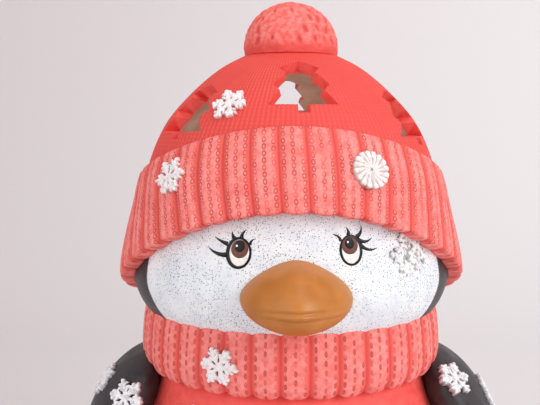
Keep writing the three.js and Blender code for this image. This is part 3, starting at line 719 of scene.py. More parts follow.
def tree_outline(stretch):
    """Three-tiered fir tree, as (across, up) in mm."""
    tip, half = TREE["tip"] * stretch, TREE["half"]
    edge = [
        (0, tip),
        (0.75 * half, 0.74 * tip),
        (0.52 * half, 0.59 * tip),
        (0.91 * half, 0.25 * tip),
        (0.68 * half, 0.1 * tip),
        (half, -0.19 * tip),
        (TREE["trunk"], -0.19 * tip - 0.5),
        (TREE["trunk"], -TREE["drop"] * stretch),
    ]
    return edge + [(-x, y) for x, y in edge[:0:-1]]


def cut_window(bm, turn):
    """Adds one tree-shaped cutter that tapers towards the axis of the hat."""
    sway = math.cos(2 * turn)
    lift = math.radians(WINDOW_LIFT["mean"] + WINDOW_LIFT["swing"] * sway)
    out = Vector((math.sin(turn) * math.cos(lift), -math.cos(turn) * math.cos(lift), math.sin(lift)))
    right = Vector((math.cos(turn), math.sin(turn), 0))
    up = out.cross(right)
    loops = []
    for reach in (34, 84):
        share = reach / WINDOW_REACH
        ring = []
        for x, y in tree_outline(1 + TREE["stretch"] * sway):
            p = Vector((0, 0, WINDOW_EYE_Z)) + out * reach + (right * x + up * y) * share
            ring.append(bm.verts.new((p.x * MM, p.y * MM * FIGURE_DEPTH, p.z * MM)))
        loops += [bm.edges.new((a, b)) for a, b in zip(ring, ring[1:] + ring[:1])]
        bm.faces.new(ring)
    bmesh.ops.bridge_loops(bm, edges=loops)


def stocking_stitch(u, rows, deep):
    """Columns of small V stitches."""
    column = abs((u % 1) - 0.5) * 2
    slant = math.cos(2 * math.pi * (rows + 0.45 * column))
    return -deep * column**3 + deep * 0.25 * slant * (1 - column)


def crown_stain_and_painted_shading():
    """One coat of coral stain over fine stocking stitch, with a painted highlight on the raised
    stitches and painted shade in the hollows between the columns.
    """
    material, tree, shader, place = new_finish("acrylic_stain_crown_painted_shading", 0.6, 1.49)
    knit = node(tree, "SeparateXYZ", [node(tree, "UVMap", uv_map="knit")])

    column = node(tree, "Math", [knit.outputs[0]], operation="FRACT")
    column = node(tree, "Math", [column, 2, -1], operation="MULTIPLY_ADD")
    column = node(tree, "Math", [column], operation="ABSOLUTE")
    wave = node(tree, "Math", [column, 0.45], operation="MULTIPLY")
    wave = node(tree, "Math", [knit.outputs[1], wave], operation="ADD")
    slant = node(tree, "Math", [wave, 2 * math.pi], operation="MULTIPLY")
    slant = node(tree, "Math", [slant], operation="COSINE")
    leg = node(tree, "Math", [column, 0.6], operation="MULTIPLY")
    leg = node(tree, "Math", [1, leg], operation="SUBTRACT")
    leg = node(tree, "Math", [slant, leg], operation="MULTIPLY")
    broad, fine = brushed_grain(tree, place, 0.006, 0.0005)
    # Painted highlight: the raised stitch legs are lightened.
    high = node(tree, "MapRange", [leg, -0.6, 0.9, 0, 0.6], interpolation_type="SMOOTHSTEP")
    amount = node(tree, "MapRange", [broad, 0.3, 0.7, 0.35, 1], interpolation_type="SMOOTHSTEP")
    high = node(tree, "Math", [high, amount], operation="MULTIPLY")
    colour = node(
        tree,
        "Mix",
        {0: high, 6: linear(CROWN_RED_AND_PAINTED_SHADING["mid"]), 7: linear(CROWN_RED_AND_PAINTED_SHADING["light"])},
        data_type="RGBA",
    )
    # Painted shade: the hollows between the stitch columns are darkened.
    amount = node(tree, "MapRange", [column, 0.6, 1, 0, 0.55], interpolation_type="SMOOTHSTEP")
    colour = node(tree, "Mix", {0: amount, 6: colour, 7: linear(CROWN_RED_AND_PAINTED_SHADING["deep"])}, data_type="RGBA")
    height = node(tree, "Math", [leg, 0.22], operation="MULTIPLY")
    amount = node(tree, "Math", [fine, 0.4], operation="MULTIPLY")
    height = node(tree, "Math", [height, amount], operation="ADD")
    amount = node(tree, "Math", [column, 0.5], operation="MULTIPLY")
    height = node(tree, "Math", [height, amount], operation="SUBTRACT")
    bump = node(tree, "Bump", {"Strength": 0.5, "Distance": 0.0003, "Height": height})
    feed(tree, shader, {"Base Color": colour, "Normal": bump})
    return material


bm = skull_shell(1.0, CROWN["steps"])
keep_side(bm, above=True)
along_layer = bm.verts.layers.float["along"]


def crown_knit(v):
    """Stitch column and row of a point on the crown."""
    return (around(v.co) / (2 * math.pi) + 0.5) * CROWN["columns"], v[along_layer] / CROWN["row"]


def crown_relief(v):
    """Stitch relief, outside only, fading out where the columns crowd under the bobble."""
    reach = math.hypot(v.co.x, v.co.y / FIGURE_DEPTH) / MM
    if reach < radius_at(skull_run, v.co.z / MM) - 2 or reach < 22:
        return 0.0
    return stocking_stitch(*crown_knit(v), 0.28) * min(1, (reach - 22) / 12)


push_out(bm, crown_relief)
lay_knit(bm, CROWN["columns"], crown_knit)
for face in bm.faces:
    centre = face.calc_center_median()
    reach = math.hypot(centre.x, centre.y / FIGURE_DEPTH) / MM
    face.material_index = 1 if reach < radius_at(skull_run, centre.z / MM) - 3 else 0
crown = finished(
    "hat_crown_knit", bm, [crown_stain_and_painted_shading(), bisque, coral], replaces=["hat_crown"]
)

cutter_bm = bmesh.new()
for turn in WINDOWS:
    cut_window(cutter_bm, math.radians(WINDOW_TURN + turn))
bmesh.ops.recalc_face_normals(cutter_bm, faces=cutter_bm.faces)
cutter_mesh = bpy.data.meshes.new("window_cutters")
cutter_bm.to_mesh(cutter_mesh)
cutter_bm.free()
cutter_mesh.materials.append(coral)
cutters = bpy.data.objects.new("window_cutters", cutter_mesh)
bpy.context.scene.collection.objects.link(cutters)
knife = crown.modifiers.new("windows", "BOOLEAN")
knife.operation = "DIFFERENCE"
knife.solver = "MANIFOLD"
knife.material_mode = "TRANSFER"
knife.object = cutters
bpy.context.view_layer.update()
cut_mesh = bpy.data.meshes.new_from_object(crown.evaluated_get(bpy.context.evaluated_depsgraph_get()))
crown.modifiers.clear()
crown.data = cut_mesh
bpy.data.objects.remove(cutters)


# ---- bobble ----
# The pompom is a hollow ball modelled as a loose net of yarn, with deep upright dimples in
# staggered rows, luted over the vent in the top of the hat.
BOBBLE = {"r": 22.6, "z": 287.3, "squash": 0.94, "wall": 5, "columns": 21, "row": 5.6, "sunk": 0.5}


def bobble_dimple(turn, climb):
    """Depth of the net at an angle and an arc height, in mm."""
    row = climb / BOBBLE["row"]
    tier = math.floor(row)
    u = turn / (2 * math.pi) * BOBBLE["columns"] + 0.5 * (tier % 2)
    seed = Vector((math.floor(u) + 0.5, tier + 0.5, 3.5))
    up = (row % 1) - 0.5 + 0.35 * noise.noise(seed * 2.3)
    across = (u % 1) - 0.5 + 0.4 * noise.noise(seed * 1.7) + 1.1 * up * noise.noise(seed * 4.1)
    size = 1 + 0.8 * noise.noise(seed * 3.1)
    reach = math.hypot(across / (0.2 * size), up / (0.42 * size))
    return math.exp(-(reach**2)) * min(1, max(0.25, 0.8 + 1.4 * noise.noise(seed * 5.3)))


def net_stain_and_painted_shade():
    """Coral stain with pink dragged over the yarn; painted shade darkens the dimples and the foot of
    the ball where it sits on the hat.
    """
    material, tree, shader, place = new_finish("acrylic_stain_bobble_net_painted_shade", 0.62, 1.49)
    dip = node(tree, "Attribute", attribute_name="dip").outputs["Fac"]
    smear = node(tree, "TexNoise", {"Vector": place, "Scale": 480, "Detail": 4})
    fine = node(tree, "TexNoise", {"Vector": place, "Scale": 2200, "Detail": 2})
    dry = node(tree, "MapRange", [dip, 0.05, 0.6, 1, 0], interpolation_type="SMOOTHSTEP")
    amount = node(tree, "MapRange", [smear, 0.38, 0.6, 0.1, 0.6], interpolation_type="SMOOTHSTEP")
    dry = node(tree, "Math", [dry, amount], operation="MULTIPLY")
    colour = node(
        tree, "Mix", {0: dry, 6: linear(CORAL["mid"]), 7: linear(CORAL["pink"])}, data_type="RGBA",
    )
    # Painted shade: the dimples are darkened towards deep red.
    amount = node(tree, "MapRange", [dip, 0.25, 0.8, 0, 0.75], interpolation_type="SMOOTHSTEP")
    colour = node(tree, "Mix", {0: amount, 6: colour, 7: linear("#cf3f37")}, data_type="RGBA")
    # Painted shade: the lowest band of the ball, where it meets the hat, is darkened.
    climb = node(tree, "SeparateXYZ", [place]).outputs[2]
    painted_shade_low, painted_shade_high = (CROWN_TOP + 1) * MM, (CROWN_TOP + 7) * MM
    amount = node(
        tree, "MapRange", [climb, painted_shade_low, painted_shade_high, 0.9, 0], interpolation_type="SMOOTHSTEP",
    )
    colour = node(tree, "Mix", {0: amount, 6: colour, 7: linear("#df463d")}, data_type="RGBA")
    yarn = node(tree, "Bump", {"Strength": 0.5, "Distance": 0.0004, "Height": smear})
    bump = node(tree, "Bump", {"Strength": 0.4, "Distance": 0.0002, "Height": fine, "Normal": yarn})
    feed(tree, shader, {"Base Color": colour, "Normal": bump})
    return material


low_tilt = math.asin((CROWN_TOP - BOBBLE["sunk"] - BOBBLE["z"]) / (BOBBLE["r"] * BOBBLE["squash"]))
arc = [low_tilt + (math.pi / 2 - low_tilt) * k / 72 for k in range(73)]


def bobble_ring(r, tilt):
    """Radius and height of the ball of radius r at an angle above its middle."""
    return r * math.cos(tilt), BOBBLE["z"] + r * BOBBLE["squash"] * math.sin(tilt)


outer = [bobble_ring(BOBBLE["r"], a) for a in arc]
inner = [bobble_ring(BOBBLE["r"] - BOBBLE["wall"], a) for a in arc[::-12]]
inner = [(r, max(z, CROWN_TOP - BOBBLE["sunk"])) for r, z in inner]
outer[-1] = (0, outer[-1][1])
inner[0] = (0, inner[0][1])
bm = turned(outer + inner, 230, closed=False, depth=1)
bmesh.ops.holes_fill(bm, edges=[e for e in bm.edges if e.is_boundary])
dip = bm.verts.layers.float.new("dip")
for v in bm.verts:
    centre = Vector((0, 0, BOBBLE["z"] * MM))
    reach = (v.co - centre).length / MM
    if reach < BOBBLE["r"] * BOBBLE["squash"] - 2:
        continue
    climb = math.asin(max(-1, min(1, (v.co.z - centre.z) / (v.co - centre).length))) * BOBBLE["r"]
    turn = math.atan2(v.co.x, -v.co.y) + math.pi
    fade = min(1, max(0, (BOBBLE["r"] * math.cos(climb / BOBBLE["r"]) - 2) / 6))
    fade *= min(1, max(0, (v.co.z / MM - CROWN_TOP - 1.5) / 2))
    v[dip] = bobble_dimple(turn, climb + 40) * fade
push_out(bm, lambda v: -1.1 * v[dip] - 0.35 * (noise.noise(v.co * 420) + 0.4))
finished("bobble_net", bm, [net_stain_and_painted_shade()], replaces=["bobble"])


# ---- turtleneck collar ----
# A deep ribbed collar, cast as a ring and luted between head and body. Its ribs carry three
# columns of upright stitches and roll under at the lower edge.
COLLAR = {"ribs": 36, "low": 136.5, "high": 167.5, "r": 72.5, "row": 3.9}


def collar_ring():
    """The collar's spun section with ribs, stitches and a scalloped lower edge."""
    low, high, r = COLLAR["low"], COLLAR["high"], COLLAR["r"]
    rolled = [(r - 10, low + 1.2), (r - 4, low), (r - 0.8, low + 4), (r, low + 11)]
    side = smooth_run(rolled + [(r - 1.2, high - 6), (r - 3.4, high - 0.8), (r - 6, high)], 0.62)
    section = side + [(r - 9, high - 2), (r - 12, high - 8), (r - 13, low + 8)]
    bm = turned(section, COLLAR["ribs"] * 15)
    along = bm.verts.layers.float["along"]
    length = sum(math.dist(a, b) for a, b in zip(side, side[1:]))

    def rib_of(v):
        return (around(v.co) / (2 * math.pi) + 0.5) * COLLAR["ribs"] + 0.5

    knit = {v: (rib_of(v), v[along] / COLLAR["row"]) for v in bm.verts}

    def relief(v):
        if v[along] > length:
            return 0.0
        across = knit[v][0] % 1
        fade = min(1, v[along] / 4, (length - v[along]) / 4)
        dimple = chain_dimple(across, knit[v][1], 0.4)
        return (rib_height(across, 1.5) - 0.1) * fade + 0.6 * fade * dimple

    push_out(bm, relief)
    for v in bm.verts:
        roll = max(0, 1 - v[along] / 12) if v[along] < length else 0
        v.co.z -= 1.0 * roll * (1 - abs(2 * (knit[v][0] % 1) - 1) ** 2) * MM
        v.co.z = max(v.co.z, (low - 0.2) * MM)
    lay_knit(bm, COLLAR["ribs"], lambda v: knit[v])
    return bm


collar_knit = knit_stain_and_painted_shade("acrylic_stain_collar_dry_brushed_painted_shade", (0.18, 0.4, 0.5, 0.55))
finished("collar_knit", collar_ring(), [collar_knit], replaces=["collar"])


# ---- bill ----
# A broad duck-like bill, luted on the face. A fine tooled line parts upper and lower bill. It is
# stained orange brown and sealed, so it shines a little more than the rest.
BILL = {"half_width": 22.8, "up": 15, "down": 12.4, "z": 181, "reach": 28, "mouth": 0.15, "droop": 0.26}


# Orange-brown stain with a satin sealer, shaded by the brush.
orange = mottled(
    "acrylic_stain_orange_sealed",
    ("#b46c25", "#c1782d"),
    (0.6, 0.85, 0.25, "#9c5a20"),
    stroke=0.010,
    grain=0.0008,
    roughness=0.4,
    ior=1.49,
    bump=(0.2, 0.0002),
    sheen=(0, 0.3, 0.7, 0.34, 0.48),
)
bm = bmesh.new()
bmesh.ops.create_uvsphere(bm, u_segments=120, v_segments=90, radius=1)
face_front = radius_at(skull_run, BILL["z"]) * FIGURE_DEPTH
for v in bm.verts:
    x, y, z = v.co
    narrow = 1 - 0.35 * max(0, z) ** 1.5
    lift = (BILL["up"] if z > 0 else BILL["down"]) * z
    ahead = BILL["reach"] * (1.03 - 0.3 * math.sqrt(x * x + 0.02)) if y < 0 else 12
    if y < 0:
        line = z - BILL["mouth"] + BILL["droop"] * x * x
        mouth = math.exp(-((line / 0.035) ** 2))
        under = math.exp(-(((line + 0.19) / 0.05) ** 2))
        lip = math.exp(-(((line + 0.09) / 0.05) ** 2))
        ahead *= 1 - 0.035 * mouth - 0.02 * under + 0.012 * lip - (0.03 if line < -0.19 else 0)
    out = -face_front + y * ahead
    v.co = Vector((x * BILL["half_width"] * narrow, out, BILL["z"] + lift + y * 3)) * MM
bmesh.ops.recalc_face_normals(bm, faces=bm.faces)
finished("bill", bm, [orange], replaces=["beak"])


# ---- flippers ----
# Two slabs of clay modelled over the sides of the body and luted at the shoulder, stained black.
FLIPPER = {"top": 141, "tip": 46, "thick": 10, "inner": 19, "half_width": 39, "forward": 6, "x": 101.4}
FLIPPER_ROOT_X = 61.5
BELLY_R = 85


def flipper_point(side, x, y, z):
    """Where a point of the unit ball lands on a flipper, in mm."""
    t = (1 - z) / 2
    root = Vector((FLIPPER_ROOT_X, FLIPPER["top"]))
    elbow = Vector((FLIPPER["x"] - 4, FLIPPER["top"] - 15))
    tip = Vector((FLIPPER["x"], FLIPPER["tip"]))
    at = root * (1 - t) ** 2 + elbow * 2 * t * (1 - t) + tip * t * t
    way = ((elbow - root) * (1 - t) + (tip - elbow) * t).normalized()
    taper = math.sqrt(max(0, 1 - z * z)) / (math.hypot(x, y) or 1)
    across = y * FLIPPER["half_width"] * taper * (1.12 - 0.5 * t)
    thick = x * FLIPPER["thick" if x > 0 else "inner"] * taper * (1.2 - 0.5 * t)
    px = at.x - way.y * thick - across**2 / (2 * BELLY_R)
    py, pz = across - FLIPPER["forward"], at.y + way.x * thick
    wall = radius_at(body_run, min(pz, BODY_TOP)) - 2
    reach = math.hypot(px, py / FIGURE_DEPTH)
    if reach < wall:
        px, py = px * wall / reach, py * wall / reach
    return side * px, py, pz


# Black acrylic stain, slightly sheened where handling has polished it.
black = mottled(
    "acrylic_stain_black",
    ("#241f21", "#3a3235"),
    (0.62, 0.8, 0.35, "#665b5d"),
    stroke=0.006,
    grain=0.0006,
    roughness=0.5,
    ior=1.49,
    bump=(0.4, 0.0002),
    sheen=(0, 0.3, 0.7, 0.4, 0.6),
)
for name, side in (("left", -1), ("right", 1)):
    bm = bmesh.new()
    bmesh.ops.create_uvsphere(bm, u_segments=72, v_segments=72, radius=1)
    for v in bm.verts:
        v.co = Vector(flipper_point(side, *v.co)) * MM
    bmesh.ops.recalc_face_normals(bm, faces=bm.faces)
    finished("flipper_" + name + "_clay", bm, [black], replaces=["flipper_" + name])


# ---- webbed feet ----
# Solid pads of clay pinched into three toes, with the web pressed down between them.
FOOT = {"toes": 3, "web": 0.1, "tilt": 12}


def foot(name, side):
    """A rounded three-toed pad that fills the space of its CAD node."""
    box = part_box("foot_" + name)
    low, high = Vector(box[0]) / MM, Vector(box[1]) / MM
    middle, half = (low + high) / 2, (high - low) / 2
    bm = bmesh.new()
    bmesh.ops.create_uvsphere(bm, u_segments=120, v_segments=40, radius=1)
    for v in bm.verts:
        turn = math.atan2(v.co.y, v.co.x)
        ahead = max(0, -math.sin(turn))
        lobe = math.cos(2 * FOOT["toes"] * (turn + math.pi / 2))
        flat = math.hypot(v.co.x, v.co.y) ** 0.55
        reach = flat * (1 + FOOT["web"] * (lobe - 1) * ahead)
        height = abs(v.co.z) ** 0.8 * (1 - 0.22 * ahead * flat**2 * (1 - lobe) / 2)
        z = middle.z + half.z * height if v.co.z > 0 else middle.z - half.z * abs(v.co.z) ** 0.45
        spin = math.radians(side * FOOT["tilt"])
        x, y = math.cos(turn) * reach * half.x * 0.97, math.sin(turn) * reach * half.y * 0.97
        v.co = Vector((middle.x + x, middle.y + y + math.sin(spin) * x * 0.2, max(z, 0))) * MM
    bmesh.ops.recalc_face_normals(bm, faces=bm.faces)
    finished("foot_" + name + "_clay", bm, [orange], replaces=["foot_" + name])


foot("left", -1)
foot("right", 1)


# ---- tail ----
# A short turned-up wedge of clay luted on behind, stained black like the flippers.
TAIL = {"length": 24, "width": 20, "height": 11, "z": 25, "lift": 20}
bm = bmesh.new()
bmesh.ops.create_uvsphere(bm, u_segments=64, v_segments=40, radius=1)
tail_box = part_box("tail")
for v in bm.verts:
    x, y, z = v.co.x * TAIL["width"], v.co.y * TAIL["length"], v.co.z * TAIL["height"]
    across = x * (1 - 0.25 * max(0, v.co.y))
    lift = math.radians(TAIL["lift"])
    behind = y * math.cos(lift) - z * math.sin(lift)
    v.co = Vector((across, behind, TAIL["z"] + y * math.sin(lift) + z * math.cos(lift)))
shift = tail_box[1][1] / MM - max(v.co.y for v in bm.verts) - 0.1
for v in bm.verts:
    v.co = (v.co + Vector((0, shift, 0))) * MM
bmesh.ops.recalc_face_normals(bm, faces=bm.faces)
finished("tail_clay", bm, [black], replaces=["tail"])


# ---- snowflakes ----
# Crumbly white sprigs, piped and dabbed on with thick texture paste after firing. No two are alike.
FLAKE_CELLS = 64
FLAKE_THICK = 1.3
FLAKE_SKIRT = 2.6  # how deep the paste goes into the ground that it lies on


def texture_paste(name, fleck="#e6b9b6", flecks=0.35):
    """White texture paste: rough, matt and grainy, with stain showing through the thin spots; on the
    cheek flake the dark green flecks and thin spots are painted shade instead.
    """
    material, tree, shader, place = new_finish(name, 0.85, 1.5)
    grain = node(tree, "TexNoise", {"Vector": place, "Scale": 1100, "Detail": 3})
    lump = node(tree, "TexNoise", {"Vector": place, "Scale": 500, "Detail": 2})
    thin = node(tree, "Attribute", attribute_name="thick").outputs["Fac"]
    amount = node(tree, "MapRange", [lump, 0.5, 0.6, 0, flecks], interpolation_type="SMOOTHSTEP")
    colour = node(tree, "Mix", {0: amount, 6: linear("#f1ecec"), 7: linear(fleck)}, data_type="RGBA")
    amount = node(tree, "MapRange", [thin, 0.15, 0.75, 0.9, 0], interpolation_type="SMOOTHSTEP")
    colour = node(tree, "Mix", {0: amount, 6: colour, 7: linear(fleck)}, data_type="RGBA")
    bump = node(tree, "Bump", {"Strength": 0.8, "Distance": 0.0005, "Height": grain})
    feed(tree, shader, {"Base Color": colour, "Normal": bump})
    return material


def segment_distance(px, py, ax, ay, bx, by):
    """Distance from a point to a segment."""
    square = (bx - ax) ** 2 + (by - ay) ** 2
    t = max(0, min(1, ((px - ax) * (bx - ax) + (py - ay) * (by - ay)) / square))
    return math.hypot(px - ax - t * (bx - ax), py - ay - t * (by - ay))


def flake_height(x, y, seed):
    """Height share of a six-armed flake, whose radius is 1. Negative outside."""
    reach, turn = math.hypot(x, y), math.atan2(y, x)
    arm = round(turn / (math.pi / 3))
    off = turn - arm * math.pi / 3
    along, aside = reach * math.cos(off), abs(reach * math.sin(off))
    rough = noise.noise(Vector((x * 3.4, y * 3.4, seed)))
    grit = noise.noise(Vector((x * 11, y * 11, seed + 5)))
    length = 0.93 + 0.14 * noise.noise(Vector((arm, seed, 0.5)))
    near = min(
        segment_distance(along, aside, 0, 0, length, 0) - 0.06,
        segment_distance(along, aside, 0.36, 0, 0.58, 0.24) - 0.035,
        segment_distance(along, aside, 0.62, 0, 0.80, 0.20) - 0.035,
        reach - 0.17,
    )
    return 1 - (near - 0.06 * rough - 0.045 * grit) / 0.075


def rosette_height(x, y, seed):
    """Height share of a disc of piped petals round a bare middle."""
    reach, turn = math.hypot(x, y), math.atan2(y, x)
    grit = noise.noise(Vector((x * 9, y * 9, seed)))
    petal = abs(math.cos(turn * 8 + 0.7 * math.sin(reach * 5)))
    edge = 0.98 + 0.05 * petal
    height = min(1, (edge - reach) / 0.10) * min(1, 0.01 + 1.15 * petal**1.3) + 0.22 * grit
    return min(max(height, 0.01 if reach < edge else -1), max(0.01, (reach - 0.07) / 0.05))


def sprig(name, material, height_at, seed):
    """A paste relief over the front plane of its CAD node."""
    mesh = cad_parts[name].data
    faces = sorted(mesh.polygons, key=lambda p: -p.area)
    normal = next(f.normal for f in faces if f.normal.dot(Vector((f.center.x, f.center.y, 0))) > 0)
    normal = Vector(normal)
    level = max(v.co.dot(normal) for v in mesh.vertices)
    front = [v.co for v in mesh.vertices if v.co.dot(normal) > level - 0.0002]
    centre = sum(front, Vector()) / len(front)
    tip = max(front, key=lambda p: (p - centre).length)
    size = (tip - centre).length * 1.04
    ahead = (tip - centre).normalized()
    aside = normal.cross(ahead)
    bm = bmesh.new()
    bmesh.ops.create_grid(bm, x_segments=FLAKE_CELLS, y_segments=FLAKE_CELLS, size=1.05)
    thick = bm.verts.layers.float.new("thick")
    heights = {v: height_at(v.co.x, v.co.y, seed) for v in bm.verts}
    bmesh.ops.delete(bm, geom=[v for v in bm.verts if heights[v] < 0], context="VERTS")
    loose = [v for v in bm.verts if not v.link_faces]
    bmesh.ops.delete(bm, geom=loose, context="VERTS")
    for v in bm.verts:
        share = min(1, max(0, heights[v])) ** 0.5
        v[thick] = share
        sunk = normal * (FLAKE_THICK * share - FLAKE_THICK) * MM
        v.co = centre + (ahead * v.co.x + aside * v.co.y) * size + sunk
    axes = {"use_axis_" + axis: True for axis in "xyz"}
    bmesh.ops.smooth_vert(bm, verts=bm.verts, factor=0.4, **axes)
    top = bm.faces[:]
    made = bmesh.ops.extrude_face_region(bm, geom=top, use_keep_orig=True)
    lower = [g for g in made["geom"] if isinstance(g, bmesh.types.BMVert)]
    bmesh.ops.translate(bm, vec=-normal * FLAKE_SKIRT * MM, verts=lower)
    bmesh.ops.recalc_face_normals(bm, faces=bm.faces)
    finished(name + "_paste", bm, [material], replaces=[name])


paste = texture_paste("texture_paste_white", "#df9f9a", 0.3)
paste_over_black = texture_paste("texture_paste_over_black", "#8b94a0", 0.45)
pastes = {
    # On the cheek flake the dark green flecks and thin spots are painted shade.
    "snowflake_cheek": texture_paste("texture_paste_cheek_painted_shade", "#4c625b", 0.6),
    "rosette_cuff_right": texture_paste("texture_paste_rosette", "#c9a08c", 0.35),
}
sprigs = sorted(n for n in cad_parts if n.startswith(("snowflake", "rosette")))
for seed, name in enumerate(sprigs):
    sprig(
        name,
        pastes.get(name, paste_over_black if "flipper" in name else paste),
        rosette_height if name.startswith("rosette") else flake_height,
        seed * 7.3,
    )


# ---- battery light: case, base and door ----
# White ABS, injection moulded with a fine spark-eroded grain. The base plate with its battery bay
# goes up into the fluted case on two screws; the door and the switch are reached from below.
CASE = {"r": 37, "high": 19, "wall": 2, "hole_r": 3, "edge": 0.5}
FLUTES = {"count": 72, "deep": 0.4, "low": 3, "high": 16}
POST = {"hole_r": 1.4, "r": 3.2, "low": 2.5}
DOOR_GRIP = {"from_end": 8.5, "pitch": 2.6, "length": 8, "wide": 0.8, "tall": 0.5, "hollow": 0.8}


def moulded_abs(name, fresh, aged, scuff):
    """Moulded ABS: even semi-matt grain from the mould, a little yellowed, with faint scuffs."""
    material, tree, shader, place = new_finish(name, 0.42, 1.53)
    haze, grain = brushed_grain(tree, place, 0.016, 0.0005)
    rub = node(tree, "TexNoise", {"Vector": place, "Scale": 300, "Detail": 5, "Roughness": 0.7})
    amount = node(tree, "MapRange", [haze, 0.35, 0.7], interpolation_type="SMOOTHSTEP")
    colour = node(tree, "Mix", {0: amount, 6: linear(fresh), 7: linear(aged)}, data_type="RGBA")
    amount = node(
        tree, "MapRange", [rub.outputs[0], 0.64, 0.74, 0, 0.5], interpolation_type="SMOOTHSTEP",
    )
    colour = node(tree, "Mix", {0: amount, 6: colour, 7: linear(scuff)}, data_type="RGBA")
    bump = node(tree, "Bump", {"Strength": 0.35, "Distance": 0.0001, "Height": grain})
    rough = node(tree, "MapRange", [grain, 0.3, 0.7, 0.36, 0.52], interpolation_type="SMOOTHSTEP")
    feed(tree, shader, {"Roughness": rough, "Base Color": colour, "Normal": bump})
    return material


def joined(parts):
    """One bmesh from several, each moved to its place in metres."""
    whole = bmesh.new()
    for part, place in parts:
        bmesh.ops.translate(part, vec=place, verts=part.verts)
        mesh = bpy.data.meshes.new("part")
        part.to_mesh(mesh)
        part.free()
        whole.from_mesh(mesh)
        bpy.data.meshes.remove(mesh)
    return whole


def block(low, high):
    """A box between two corners in metres."""
    bm = bmesh.new()
    bmesh.ops.create_cube(bm, size=1)
    bmesh.ops.scale(bm, vec=high - low, verts=bm.verts)
    bmesh.ops.translate(bm, vec=(low + high) / 2, verts=bm.verts)
    return bm


def node_box(name):
    """Lowest and highest corner of a CAD node."""
    low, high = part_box(name)
    return Vector(low), Vector(high)


def softened(name, material, radius):
    """Gives a CAD node its material and breaks its sharp edges by a radius in mm."""
    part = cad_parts[name]
    for slot in part.material_slots:
        slot.material = material
    part.modifiers.new("weld", "WELD").merge_threshold = 1e-6
    edge = part.modifiers.new("broken_edges", "BEVEL")
    edge.width = radius * MM
    edge.segments = 2
    edge.limit_method = "ANGLE"
    edge.angle_limit = math.radians(30)


abs_white = moulded_abs("abs_moulded_white", "#eceae4", "#e3dfd3", "#c9c5bb")
abs_black = moulded_abs("abs_moulded_black", "#1d1d1f", "#27272a", "#4a4a4d")
rim, case_r, deck = CASE["edge"], CASE["r"], CASE["high"]
case_wall = [(case_r, z) for z in (rim, 2.4, 3, 3.8, 6, 9.5, 13, 15.2, 16, 16.6, deck - rim)]
shell = turned(
    [(case_r - CASE["wall"], 0), (case_r - rim, 0)]
    + case_wall
    + [(case_r - rim, deck), (CASE["hole_r"], deck), (CASE["hole_r"], deck - CASE["wall"])]
    + [(case_r - CASE["wall"], deck - CASE["wall"])],
    4 * FLUTES["count"],
    depth=1,
)


def flute(v):
    """Finger flutes pressed into the side of the case."""
    outside = math.hypot(v.co.x, v.co.y) / MM > case_r - 0.01
    if not outside or not FLUTES["low"] <= v.co.z / MM <= FLUTES["high"]:
        return 0.0
    return -FLUTES["deep"] * (0.5 - 0.5 * math.cos(math.atan2(v.co.y, v.co.x) * FLUTES["count"]))


push_out(shell, flute)
case_parts = [(shell, (0, 0, 0))]
for number in (1, 2):
    low, high = node_box(f"light_screw_{number}")
    post = turned(
        [(POST[r], z) for r, z in (("hole_r", POST["low"]), ("r", POST["low"]))]
        + [(POST[r], deck - CASE["wall"] + 0.2) for r in ("r", "hole_r")],
        32,
        depth=1,
    )
    case_parts.append((post, ((low.x + high.x) / 2, (low.y + high.y) / 2, 0)))
finished(
    "light_case_shell", joined(case_parts), [abs_white], "light", ["light_case"], False
)
softened("light_base", abs_white, 0.3)
softened("battery_door", abs_white, 0.3)
door_low, door_high = node_box("battery_door")
grips = []
for k in (-1, 0, 1):
    x = door_high.x - (DOOR_GRIP["from_end"] - k * DOOR_GRIP["pitch"]) * MM
    half = Vector((DOOR_GRIP["wide"] / 2, DOOR_GRIP["length"] / 2 - abs(k), 0)) * MM
    ceiling = door_low.z + (DOOR_GRIP["hollow"] + 0.1) * MM
    low = Vector((x, 0, ceiling - DOOR_GRIP["tall"] * MM)) - half
    grips.append((block(low, Vector((x, 0, ceiling)) + half), (0, 0, 0)))
bm = joined(grips)
bmesh.ops.bevel(
    bm,
    geom=bm.edges[:],
    offset=0.15 * MM,
    segments=2,
    profile=0.5,
    affect="EDGES",
    material=-1,
)
finished("door_grip_ribs", bm, [abs_white], "door")


# ---- battery light: lens and light board ----
# The lens is a blow-moulded polypropylene dome, frosted and finely ringed to spread the light of
# three warm white LEDs, which are soldered on a round green board with a hole for the wires.
LENS = {"low": 19.3, "height": 15, "wall": 1.6, "ring": 0.14, "pitch": 1.5}
LENS_OUTLINE = [(35, 19.3), (33.5, 25.3), (25, 31.75), (0, 34.3)]
TRACK_R = 9  # middle of the ring of copper that feeds the LEDs
LED = {"rim": 0.45, "sunk": 0.3}


